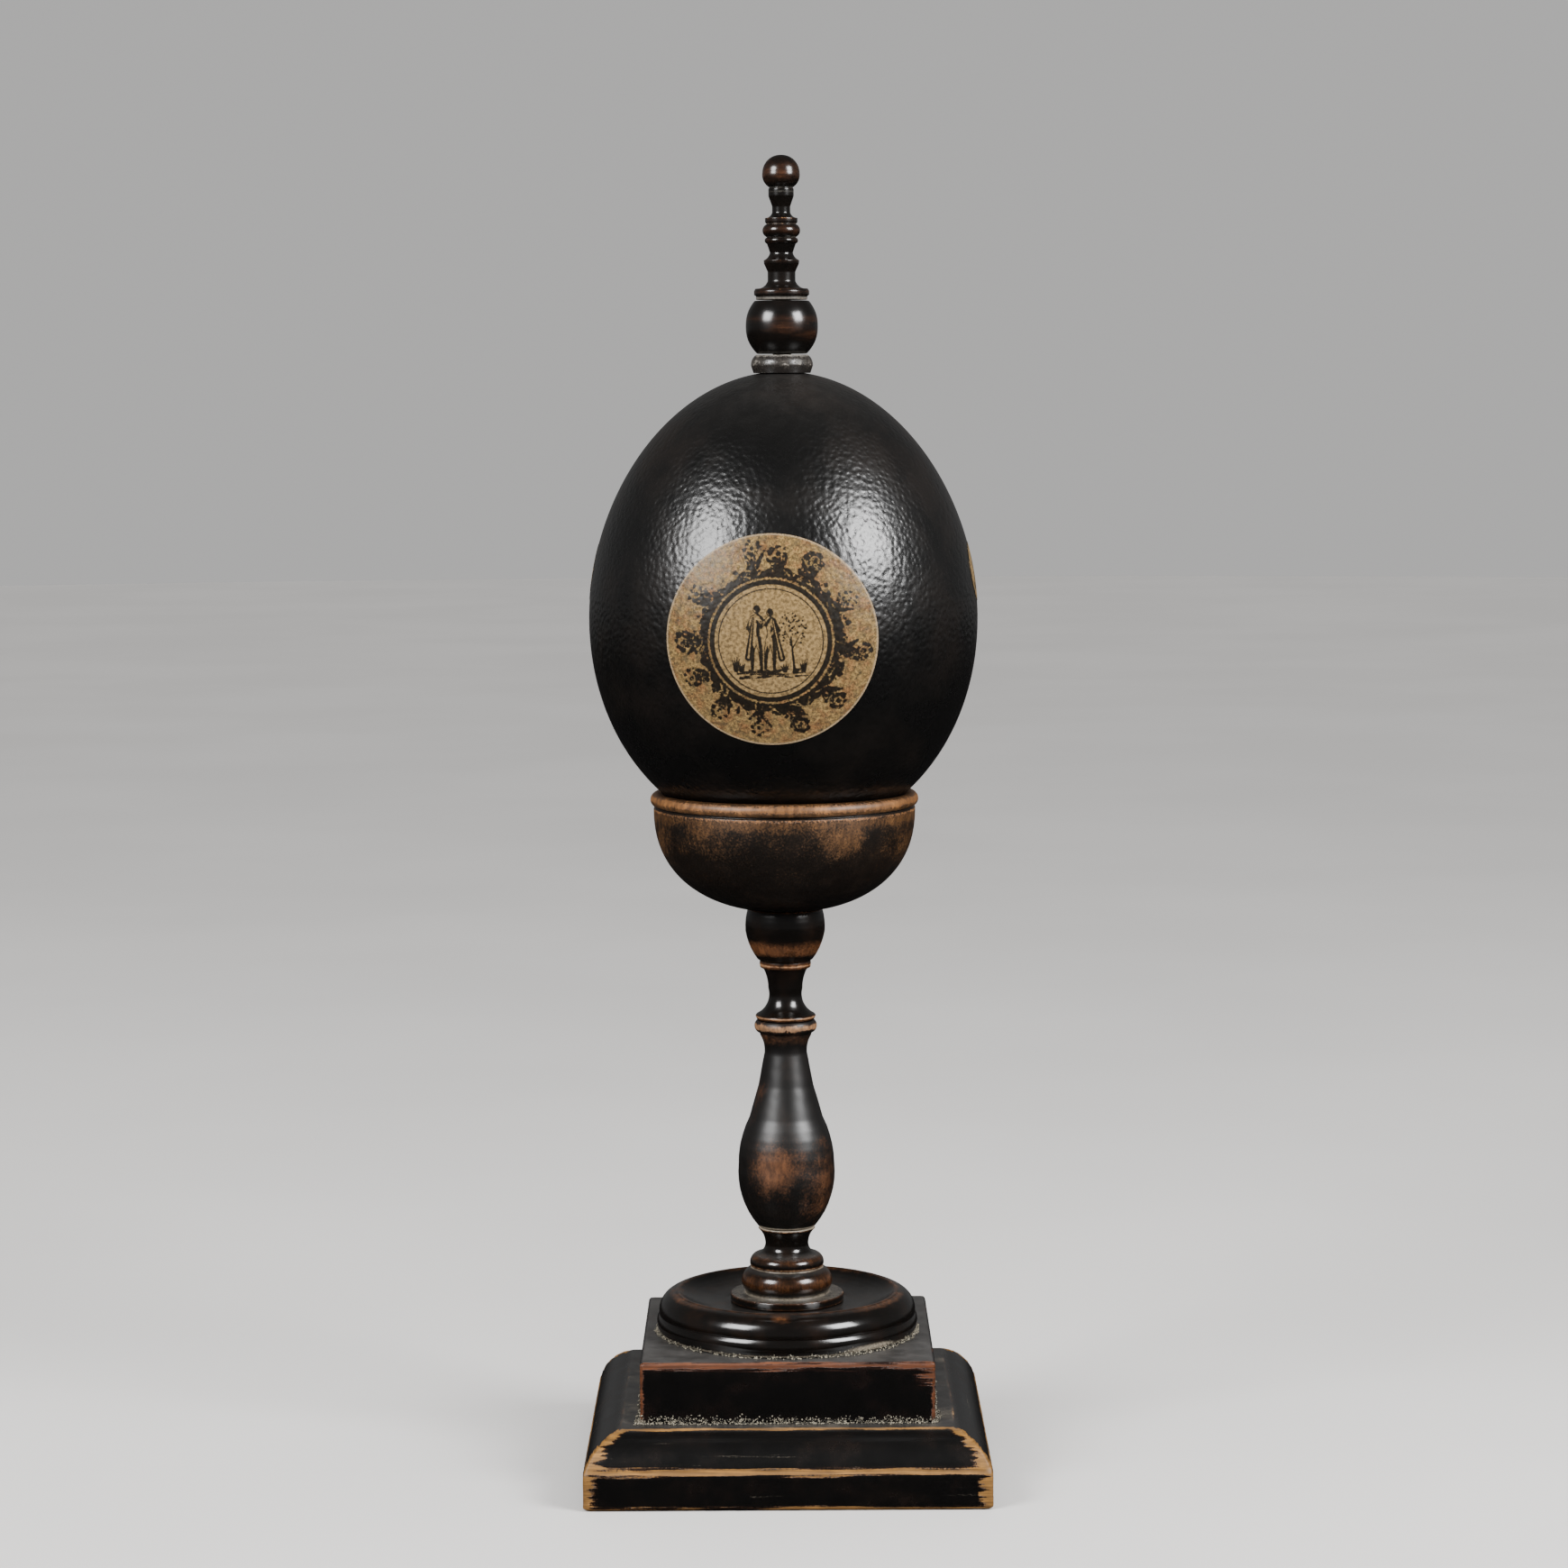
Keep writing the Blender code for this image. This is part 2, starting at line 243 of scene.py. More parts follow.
def tenon_below(tenon, shoulder):
    radius, length = tenon
    return (radius, shoulder), (radius, shoulder - length), (0, shoulder - length)


def tenon_above(tenon, shoulder):
    radius, length = tenon
    return (0, shoulder + length), (radius, shoulder + length), (radius, shoulder)


def socket_above(tenon, face):
    radius, depth = tenon[0] + GAP, tenon[1] + 2 * GAP
    return (0, face - depth), (radius, face - depth), (radius, face)


def socket_below(tenon, face):
    radius, depth = tenon[0] + GAP, tenon[1] + 2 * GAP
    return (radius, face), (radius, face + depth), (0, face + depth)


def egg_point(angle, grow=0.0):
    """Point of the egg's outline at an angle from its widest level, or of one that clears it by grow."""
    rise = math.sin(angle)
    radius = (EGG_RADIUS + grow) * math.cos(angle) * (1 - EGG_TAPER * rise)
    return max(radius, 0.0), EGG_CENTRE_Z + (EGG_HALF_HEIGHT + grow) * rise


def bowl_curve(bottom_radius, steps):
    """Outer curve of the cup's bowl, from under its rim groove to its flat underside."""
    depth = CUP_BODY_TOP_Z - CUP_BODY_LOW_Z
    end = math.acos((bottom_radius / CUP_BODY_RADIUS) ** (CUP_BODY_POWER / 2))
    points = []
    for step in range(steps + 1):
        angle = end * step / steps
        points.append((CUP_BODY_RADIUS * math.cos(angle) ** (2 / CUP_BODY_POWER),
                       CUP_BODY_TOP_Z - depth * math.sin(angle) ** (2 / CUP_BODY_POWER)))
    return points


def barrel(end, waist):
    """Points from one end of a bulge to just short of its waist, upright at the waist."""
    points = []
    steps = 10
    for step in range(steps):
        share = 1 - step / steps
        points.append((waist[0] - (waist[0] - end[0]) * share ** BALL_FULLNESS,
                       waist[1] + (end[1] - waist[1]) * share))
    return points


def between(first, second, share):
    return tuple(a + (b - a) * share for a, b in zip(first, second))


def soften(points, reach):
    """The outline with each sharp corner cut to a small round that starts reach away from it."""
    soft = [points[0]]
    for before, corner, after in zip(points, points[1:], points[2:]):
        coming = Vector(corner) - Vector(before)
        going = Vector(after) - Vector(corner)
        cut = min(reach, 0.45 * coming.length, 0.45 * going.length)
        if coming.angle(going) < math.radians(18) or cut < 0.02:
            soft.append(corner)
            continue
        start = between(corner, before, cut / coming.length)
        end = between(corner, after, cut / going.length)
        for share in (0.0, 0.25, 0.5, 0.75, 1.0):
            soft.append(between(between(start, corner, share), between(corner, end, share), share))
    soft.append(points[-1])
    return soft


def resample(points, spacing):
    """The outline with no stretch longer than spacing."""
    dense = [points[0]]
    for start, end in zip(points, points[1:]):
        steps = max(1, math.ceil(math.dist(start, end) / spacing))
        dense += [between(start, end, step / steps) for step in range(1, steps + 1)]
    return dense


def bend_fields(points, width):
    """How much the outline stands proud, and how much it is hollowed, near each point, from 0 to 1."""
    spots = np.array(points)
    steps = np.diff(spots, axis=0)
    along = np.concatenate([[0.0], np.cumsum(np.hypot(steps[:, 0], steps[:, 1]))])
    cross = steps[:-1, 0] * steps[1:, 1] - steps[:-1, 1] * steps[1:, 0]
    turn = np.zeros(len(spots))
    turn[1:-1] = -np.arctan2(cross, (steps[:-1] * steps[1:]).sum(axis=1))
    near = np.exp(-((along[:, None] - along[None, :]) / width) ** 2)
    proud = near @ np.maximum(turn, 0.0) / (math.pi / 2)
    hollow = near @ np.maximum(-turn, 0.0) / (math.pi / 2)
    return np.clip(proud, 0, 1), np.clip(hollow, 0, 1)


# ---------------------------------------------------------------- meshes

def store(mesh, name, values):
    mesh.attributes.new(name, "FLOAT", "POINT").data.foreach_set("value", np.asarray(values, np.float32))


def add_mesh(name, verts, faces, material, sharp=40.0):
    mesh = bpy.data.meshes.new(name)
    mesh.from_pydata(verts, [], faces)
    mesh.materials.append(material)
    mesh.shade_smooth()
    mesh.set_sharp_from_angle(angle=math.radians(sharp))
    return mesh


def ring_faces(rows):
    """Faces between rows of points, where each row is a ring or a single point."""
    faces = []
    for above, below in zip(rows, rows[1:]):
        count = max(len(above), len(below))
        for i in range(count):
            j = (i + 1) % count
            if len(above) == 1:
                faces.append((above[0], below[i], below[j]))
            elif len(below) == 1:
                faces.append((above[i], below[0], above[j]))
            else:
                faces.append((above[i], below[i], below[j], above[j]))
    return faces


def add_piece(name, mesh, node=None):
    """Link a finished mesh and tie it to the frame."""
    piece = bpy.data.objects.new(name, mesh)
    bpy.context.scene.collection.objects.link(piece)
    if node:
        check_fit(mesh, node)
        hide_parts(node)
    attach(piece, ROOT)
    return piece


def check_fit(mesh, node):
    """Stop if a mesh isn't the size of the solid that it stands for."""
    spots = np.zeros(len(mesh.vertices) * 3)
    mesh.vertices.foreach_get("co", spots)
    spots = spots.reshape(-1, 3)
    low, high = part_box(node)
    worst = max(np.abs(spots.min(0) - low).max(), np.abs(spots.max(0) - high).max()) / MM
    if worst > FIT_TOLERANCE:
        raise RuntimeError(f"{mesh.name} differs from the frame's {node} by {worst:.2f} mm")


def marks_field(marks, radius, height, azimuth):
    """Strength from 0 to 1 of soft marks: (height, reach, strength), and perhaps (azimuth, width)."""
    field = np.zeros_like(radius)
    for mark in marks:
        spot = mark[2] * np.exp(-((height - mark[0]) / mark[1]) ** 2)
        if len(mark) == 5:
            away = (azimuth - FRONT - mark[3] + 180) % 360 - 180
            spot = spot * np.exp(-(np.radians(away) * radius / mark[4]) ** 2)
        field = np.maximum(field, spot)
    return np.clip(field, 0, 1)


def turned_mesh(name, points, material, segments, arris=0.0, groove=0.0, brown=(), worn=(), dusty=(),
                kept=(), soft=0.3, spacing=1.0, sway=0.05):
    """Closed mesh of an outline spun round the upright axis, with its wear and dust as attributes; wear is
    held back where the black lacquer is kept and where a shade line is painted.
    """
    points = resample(soften(points, soft), spacing)
    proud, hollow = bend_fields(points, 0.7)
    verts, rows, spots = [], [], []
    for index, (radius, height) in enumerate(points):
        if radius < 1e-6:
            rows.append([len(verts)])
            verts.append((0.0, 0.0, height * MM))
            spots.append((0.0, height, 0.0, proud[index], hollow[index]))
            continue
        rows.append(list(range(len(verts), len(verts) + segments)))
        for step in range(segments):
            angle = 2 * math.pi * step / segments
            east, north = math.cos(angle), math.sin(angle)
            place = Vector((east * radius, north * radius, height))
            grown = radius + sway * (noise.noise(place * 0.09) + 0.4 * noise.noise(place * 0.31))
            verts.append((east * grown * MM, north * grown * MM, height * MM))
            spots.append((radius, height, math.degrees(angle), proud[index], hollow[index]))
    mesh = add_mesh(name, verts, ring_faces(rows), material)
    radius, height, azimuth, proud, hollow = np.array(spots).T
    brown, worn, dusty, kept = (
        marks_field(marks, radius, height, azimuth) for marks in (brown, worn, dusty, kept))
    store(mesh, "brown", (1 - kept) * np.maximum(brown, 0.6 * arris * proud))
    store(mesh, "worn", (1 - kept) * np.maximum(worn, arris * proud))
    store(mesh, "dusty", np.maximum(dusty, groove * hollow))
    return mesh


def heading(angle):
    """Flat unit vector at an angle."""
    return Vector((math.cos(angle), math.sin(angle)))


def square_ring(half, corner, side_steps, corner_steps):
    """Points round a square with rounded corners, and how far each is along the edge from a corner."""
    ring, away = [], []
    flat = half - corner
    for quarter in range(4):
        middle = math.radians(45 + 90 * quarter)
        centre = heading(middle) * flat * math.sqrt(2)
        for step in range(corner_steps + 1):
            angle = middle + math.radians(90) * (step / corner_steps - 0.5)
            ring.append(centre + heading(angle) * corner)
            away.append(abs(angle - middle) * corner)
        turn = middle + math.radians(45)
        start = centre + heading(turn) * corner
        along = Vector((-math.sin(turn), math.cos(turn)))
        for step in range(1, side_steps):
            share = step / side_steps
            ring.append(start + along * 2 * flat * share)
            away.append(min(share, 1 - share) * 2 * flat + corner * math.radians(45))
    return ring, away


def block_mesh(name, points, material, settings, arrises, corner_reach, spots=(), top_dust=0.0):
    """Square block from an outline of (half width, height), with worn arrises and corners.

    corner_reach lists how far wear goes from the upright corners: (height, reach) from low to high.
    arrises are lines round the block: (half width, height, reach, strength, share of it on the two sides).
    spots are extra worn places: (place, reach, strength).
    """
    corner = settings.corner_round / MM
    rub = settings.rub / MM
    points = resample(soften(points, 0.5), 0.8)
    verts, rows, worn, dusty = [], [], [], []
    for half, height in points:
        ring, away = square_ring(half, corner, side_steps=110, corner_steps=6)
        rows.append(list(range(len(verts), len(verts) + len(ring))))
        flat_top = height > points[0][1] - 0.25
        reach_here = np.interp(height, *zip(*corner_reach))
        for spot, distance in zip(ring, away):
            sideways = abs(spot.x) > abs(spot.y)
            line = max(strength * (side if sideways else 1.0)
                       * max(0.0, 1 - math.dist((half, height), (edge, level)) / reach)
                       for edge, level, reach, strength, side in arrises)
            upright = 0.0 if flat_top else max(0.0, 1 - distance / reach_here)
            field = max(line, upright)
            for centre, reach, strength in () if flat_top else spots:
                gap = math.dist((spot.x, spot.y, height), centre)
                field = max(field, strength * max(0.0, 1 - gap / reach))
            place = Vector((spot.x, spot.y, height))
            uneven = 0.35 + 0.9 * abs(noise.noise(place * 0.22)) + 0.5 * noise.noise(place * 0.7)
            bite = rub * field ** 2 * uneven
            inward = 1 - max(bite, 0.0) / max(half, 1.0)
            verts.append((spot.x * inward * MM, spot.y * inward * MM, height * MM))
            worn.append(field)
            dusty.append(top_dust if flat_top else 0.0)
    faces = [tuple(rows[0]), tuple(reversed(rows[-1]))] + ring_faces(rows)
    mesh = add_mesh(name, verts, faces, material)
    store(mesh, "brown", np.zeros(len(verts)))
    store(mesh, "worn", worn)
    store(mesh, "dusty", dusty)
    return mesh


# ---------------------------------------------------------------- node helpers and shared groups

class Tree:
    """Adds nodes to one node tree and links their sockets."""

    def __init__(self, tree):
        self.tree = tree

    def feed(self, socket, value):
        if isinstance(value, bpy.types.NodeSocket):
            self.tree.links.new(value, socket)
        else:
            socket.default_value = value

    def node(self, kind, inputs=None, **settings):
        made = self.tree.nodes.new(kind)
        for name, value in settings.items():
            setattr(made, name, value)
        for key, value in (inputs or {}).items():
            self.feed(made.inputs[key], value)
        return made

    def math(self, operation, *values, clamp=False):
        made = self.node("ShaderNodeMath", dict(enumerate(values)), operation=operation, use_clamp=clamp)
        return made.outputs[0]

    def times(self, first, second):
        return self.math("MULTIPLY", first, second)

    def plus(self, first, second, clamp=False):
        return self.math("ADD", first, second, clamp=clamp)

    def minus(self, first, second):
        return self.math("SUBTRACT", first, second)

    def swing(self, value, reach):
        """How far a noise is from its middle, times reach."""
        return self.times(self.minus(value, 0.5), reach)

    def scaled(self, vector, factor):
        return self.node("ShaderNodeVectorMath", {0: vector, "Scale": factor}, operation="SCALE").outputs[0]

    def shaded(self, colour, tone):
        """The colour times a grey tone."""
        grey = self.node("ShaderNodeCombineColor", {0: tone, 1: tone, 2: tone}).outputs[0]
        return self.mix(1.0, colour, grey, "MULTIPLY")

    def vector(self, operation, *values):
        return self.node("ShaderNodeVectorMath", dict(enumerate(values)), operation=operation).outputs[0]

    def mix(self, factor, first, second, blend="MIX"):
        inputs = {0: factor, 6: first, 7: second}
        return self.node("ShaderNodeMix", inputs, data_type="RGBA", blend_type=blend).outputs[2]

    def noise(self, vector, scale, detail=4.0, rough=0.5):
        inputs = {"Vector": vector, "Scale": scale, "Detail": detail, "Roughness": rough}
        return self.node("ShaderNodeTexNoise", inputs).outputs[0]

    def smooth(self, value, low, high, bottom=0.0, top=1.0):
        """0 to 1, or bottom to top, as value goes from low to high, eased at both ends."""
        inputs = {0: value, 1: low, 2: high, 3: bottom, 4: top}
        return self.node("ShaderNodeMapRange", inputs, interpolation_type="SMOOTHSTEP").outputs[0]

    def field(self, name):
        return self.node("ShaderNodeAttribute", attribute_name=name).outputs["Fac"]

    def group(self, group, inputs):
        return self.node("ShaderNodeGroup", inputs, node_tree=group).outputs


def new_group(name, inputs, outputs):
    """An empty shader node group with named inputs and outputs."""
    group = bpy.data.node_groups.new(name, "ShaderNodeTree")
    for label, kind, value in inputs:
        socket = group.interface.new_socket(label, in_out="INPUT", socket_type=kind)
        socket.default_value = value
    for label, kind in outputs:
        group.interface.new_socket(label, in_out="OUTPUT", socket_type=kind)
    tree = Tree(group)
    return group, tree, tree.node("NodeGroupInput").outputs, tree.node("NodeGroupOutput").inputs


FLOAT = "NodeSocketFloat"
VECTOR = "NodeSocketVector"
COLOUR = "NodeSocketColor"


def worn_lacquer_group():
    """Lacquer that wears through brown to bare wood, with dust on top, driven by three fields."""
    if "worn lacquer" in bpy.data.node_groups:
        return bpy.data.node_groups["worn lacquer"]
    group, tree, given, out = new_group("worn lacquer", [
        ("Vector", VECTOR, (0, 0, 0)), ("Brown", FLOAT, 0.0), ("Worn", FLOAT, 0.0), ("Dusty", FLOAT, 0.0),
        ("Streaks", VECTOR, (300, 300, 300)), ("Ragged", FLOAT, 0.8), ("Fleck", FLOAT, 0.35),
        ("Grain", VECTOR, (700, 700, 60)),
        ("Lacquer", COLOUR, (0, 0, 0, 1)), ("Rubbed", COLOUR, (0.1, 0.04, 0.02, 1)),
        ("Bare", COLOUR, (0.4, 0.2, 0.1, 1)), ("Dust", COLOUR, (0.3, 0.25, 0.2, 1)),
        ("Gloss", FLOAT, 0.2), ("Matt", FLOAT, 0.5)],
        [("Color", COLOUR), ("Roughness", FLOAT), ("Height", FLOAT)])
    place = given["Vector"]
    streak = tree.noise(tree.vector("MULTIPLY", place, given["Streaks"]), 1.0, 6.0, 0.62)
    speck = tree.noise(place, 1500.0, 3.0, 0.6)
    grain = tree.noise(tree.vector("MULTIPLY", place, given["Grain"]), 1.0, 5.0, 0.65)
    cloud = tree.noise(place, 90.0, 5.0, 0.65)
    either = tree.math("MAXIMUM", given["Brown"], given["Worn"])
    ragged = tree.plus(tree.swing(streak, given["Ragged"]), tree.swing(speck, given["Fleck"]))
    torn = tree.times(ragged, tree.smooth(either, 0.0, 0.22))
    thin = tree.smooth(tree.plus(either, tree.times(torn, 0.9)), 0.14, 0.86)
    bare = tree.smooth(tree.plus(given["Worn"], torn), 0.44, 0.58)
    blotches = tree.smooth(cloud, 0.32, 0.70, 0.72, 1.22)
    tone = tree.times(tree.smooth(grain, 0.32, 0.68, 0.50, 1.28), blotches)
    black = tree.mix(tree.smooth(cloud, 0.45, 0.85, 0.0, 0.10), given["Lacquer"], given["Rubbed"])
    coat = tree.mix(thin, black, tree.shaded(given["Rubbed"], tone))
    coat = tree.mix(bare, coat, tree.shaded(given["Bare"], tone))
    dusted = tree.smooth(tree.plus(given["Dusty"], tree.times(ragged, 0.5)), 0.18, 0.75)
    powder = tree.times(dusted, tree.smooth(speck, 0.25, 0.6, 0.55, 1.0))
    tree.feed(out["Color"], tree.mix(powder, coat, given["Dust"]))
    matt_share = tree.math("MAXIMUM", tree.times(thin, 0.35), tree.math("MAXIMUM", bare, dusted))
    satin = tree.plus(given["Gloss"], tree.times(tree.minus(given["Matt"], given["Gloss"]), matt_share))
    tree.feed(out["Roughness"], tree.plus(satin, tree.swing(cloud, 0.18), clamp=True))
    relief = tree.times(tree.times(grain, 0.35), tree.plus(bare, 0.12))
    coat_rise = tree.times(tree.minus(1.0, bare), 0.5)
    crumbs = tree.times(tree.times(speck, dusted), 0.8)
    tree.feed(out["Height"], tree.plus(tree.plus(relief, coat_rise), crumbs))
    return group


def film_group():
    """Thin grey layer that is paler where a surface faces up: dust, and a painted grey sheen of the
    surroundings.
    """
    if "settled film" in bpy.data.node_groups:
        return bpy.data.node_groups["settled film"]
    group, tree, given, out = new_group("settled film", [
        ("Vector", VECTOR, (0, 0, 0)), ("Normal", VECTOR, (0, 0, 1)), ("Color", COLOUR, (0, 0, 0, 1)),
        ("Roughness", FLOAT, 0.3), ("Dust_and_Sheen", COLOUR, (0.2, 0.19, 0.18, 1)), ("Amount", FLOAT, 0.2),
        ("Steepness", FLOAT, 0.35)],
        [("Color", COLOUR), ("Roughness", FLOAT)])
    up = tree.node("ShaderNodeSeparateXYZ", {0: given["Normal"]}).outputs[2]
    facing = tree.smooth(up, given["Steepness"], 1.0)
    drift = tree.smooth(tree.noise(given["Vector"], 160.0, 5.0, 0.65), 0.25, 0.75, 0.45, 1.0)
    share = tree.times(tree.times(facing, drift), given["Amount"])
    tree.feed(out["Color"], tree.mix(share, given["Color"], given["Dust_and_Sheen"]))
    tree.feed(out["Roughness"], tree.plus(given["Roughness"], tree.times(share, 0.9), clamp=True))
    return group


def pitted_shell_group():
    """Relief and tone of an ostrich shell's shallow dimples and pores."""
    if "pitted shell" in bpy.data.node_groups:
        return bpy.data.node_groups["pitted shell"]
    group, tree, given, out = new_group("pitted shell", [("Vector", VECTOR, (0, 0, 0))],
                                        [("Height", FLOAT), ("Pores", FLOAT), ("Cloud", FLOAT)])
    place = given["Vector"]
    swell = tree.noise(place, 520.0, 2.0, 0.5)
    ripple = tree.noise(place, 1700.0, 2.0, 0.6)
    inputs = {"Vector": place, "Scale": 600.0}
    cells = tree.node("ShaderNodeTexVoronoi", inputs, feature="SMOOTH_F1").outputs[0]
    dimple = tree.smooth(cells, 0.0, 0.75)
    low = tree.plus(tree.times(swell, 0.50), tree.times(ripple, 0.16))
    tree.feed(out["Height"], tree.plus(low, tree.times(dimple, 0.55)))
    tree.feed(out["Pores"], tree.smooth(cells, 0.10, 0.22, 1.0, 0.0))
    tree.feed(out["Cloud"], tree.noise(place, 34.0, 5.0, 0.6))
    return group


def new_material(name):
    material = bpy.data.materials.new(name)
    material.use_nodes = True
    tree = Tree(material.node_tree)
    shader = material.node_tree.nodes["Principled BSDF"]
    place = tree.node("ShaderNodeTexCoord").outputs["Object"]
    return material, tree, shader, place


def rgba(colour):
    return (*colour, 1.0)


def paint(tree, shader, colour, roughness, height, distance):
    """Give a shader its colour and roughness, and a relief that is distance deep, in metres."""
    tree.feed(shader.inputs["Base Color"], colour)
    tree.feed(shader.inputs["Roughness"], roughness)
    relief = tree.node("ShaderNodeBump", {"Height": height, "Distance": distance, "Strength": 1.0})
    tree.feed(shader.inputs["Normal"], relief.outputs[0])


def under_dust_and_sheen(tree, place, colour, roughness, look):
    """Colour and roughness under a grey layer on up-facing surfaces: dust, and a painted sheen."""
    normal = tree.node("ShaderNodeNewGeometry").outputs["Normal"]
    given = {"Vector": place, "Normal": normal, "Color": colour, "Roughness": roughness}
    filmed = tree.group(film_group(), {**given, **look})
    return filmed["Color"], filmed["Roughness"]


def lacquered_wood(name, lacquer, rubbed, bare, dust, gloss=0.2, matt=0.5, streaks=(260, 260, 420),
                   ragged=0.8, fleck=0.35, grain=(900, 900, 80), film=0.0, steepness=0.85, relief=0.00016):
    """Worn lacquer on wood, from the shared groups, with this piece's own colours and gloss."""
    material, tree, shader, place = new_material(name)
    made = tree.group(worn_lacquer_group(), {
        "Vector": place, "Brown": tree.field("brown"), "Worn": tree.field("worn"),
        "Dusty": tree.field("dusty"), "Streaks": streaks, "Ragged": ragged, "Fleck": fleck, "Grain": grain,
        "Lacquer": rgba(lacquer), "Rubbed": rgba(rubbed), "Bare": rgba(bare), "Dust": rgba(dust),
        "Gloss": gloss, "Matt": matt})
    colour, roughness = made["Color"], made["Roughness"]
    # Paler where the surface faces up: dust, and a painted grey sheen.
    if film:
        look = {"Amount": film, "Steepness": steepness}
        colour, roughness = under_dust_and_sheen(tree, place, colour, roughness, look)
    paint(tree, shader, colour, roughness, made["Height"], relief)
    material.diffuse_color = rgba(lacquer)
    return material


def turned_finish(name, settings, **look):
    """The stand's own lacquer on one turned piece."""
    return lacquered_wood(name, settings.lacquer, settings.rubbed, settings.bare_wood,
                          settings.dust, **look)


def finial_finish(name, settings, **look):
    """The finial's darker brown and greyer dust."""
    return lacquered_wood(name, settings.lacquer, settings.spire_rubbed, settings.bare_wood,
                          settings.finial_dust, **look)


def turn_piece(name, node, slot, points, material, segments, **wear):
    """Turn an outline into a finished piece that stands for a solid in the frame."""
    add_piece(name, turned_mesh(name, points, material, segments, **wear), node)


# ---------------------------------------------------------------- plinth

class EGGSTAND_OT_plinth(bpy.types.Operator):
    """Build the two square blocks of the plinth, with their worn arrises"""
    bl_idname = "eggstand.plinth"
    bl_label = "Plinth"

    def execute(self, context):
        settings = context.scene.egg_stand_plinth
        dust = context.scene.egg_stand_turned.dust
        self.lower(settings, dust)
        self.upper(settings, dust)
        return {"FINISHED"}

    def lower(self, settings, dust):
        material = lacquered_wood(
            "lower_block_lacquer", settings.lacquer, settings.rubbed, settings.bare_wood, dust,
            gloss=0.25, matt=0.55, streaks=(36, 36, 900), ragged=2.6, fleck=0.6, grain=(45, 45, 1600),
            film=0.13, steepness=0.9)
        points = outline((BLOCK_CAP, LEDGE_Z), (LEDGE_HALF, LEDGE_Z), (LOWER_HALF - 0.35, LOWER_FACE, 2.1),
                         (LOWER_HALF, LOWER_FACE - 0.7), (LOWER_HALF, 0.7), (LOWER_HALF - 0.7, 0.0),
                         (BLOCK_CAP, 0.0))
        arrises = [(LOWER_HALF - 0.3, LOWER_FACE + 0.1, 2.2, 0.92, 0.85),
                   (LEDGE_HALF + 0.3, LEDGE_Z - 0.3, 1.5, 0.78, 0.25),
                   (LOWER_HALF, 0.0, 1.9, 0.80, 0.8)]
        mesh = block_mesh("lower_plinth_worn", points, material, settings, arrises,
                          corner_reach=[(0, 5.6), (LOWER_FACE, 6.2), (LOWER_FACE + 3, 6.6), (LEDGE_Z, 4.2)],
                          top_dust=0.10)
        add_piece("lower_plinth_worn", mesh, "lower_plinth")

    def upper(self, settings, dust):
        material = lacquered_wood(
            "upper_block_lacquer", settings.lacquer, settings.upper_rubbed, settings.upper_bare, dust,
            gloss=0.25, matt=0.5, streaks=(55, 55, 1100), ragged=1.9, grain=(45, 45, 1300),
            film=0.22)
        base = LEDGE_Z + GAP
        points = outline((BLOCK_CAP, UPPER_TOP_Z), (UPPER_HALF - 0.7, UPPER_TOP_Z),
                         (UPPER_HALF, UPPER_TOP_Z - 0.7), (UPPER_HALF, base + 0.35),
                         (UPPER_HALF - 0.35, base), (BLOCK_CAP, base))
        arrises = [(UPPER_HALF, UPPER_TOP_Z - 0.8, 2.6, 0.80, 0.30)]
        mesh = block_mesh("upper_plinth_worn", points, material, settings, arrises,
                          corner_reach=[(LEDGE_Z, 1.5)],
                          spots=[((UPPER_HALF, -UPPER_HALF, UPPER_TOP_Z - 4.0), 9.0, 0.80)], top_dust=0.06)
        add_piece("upper_plinth_worn", mesh, "upper_plinth")


# ---------------------------------------------------------------- turned stand

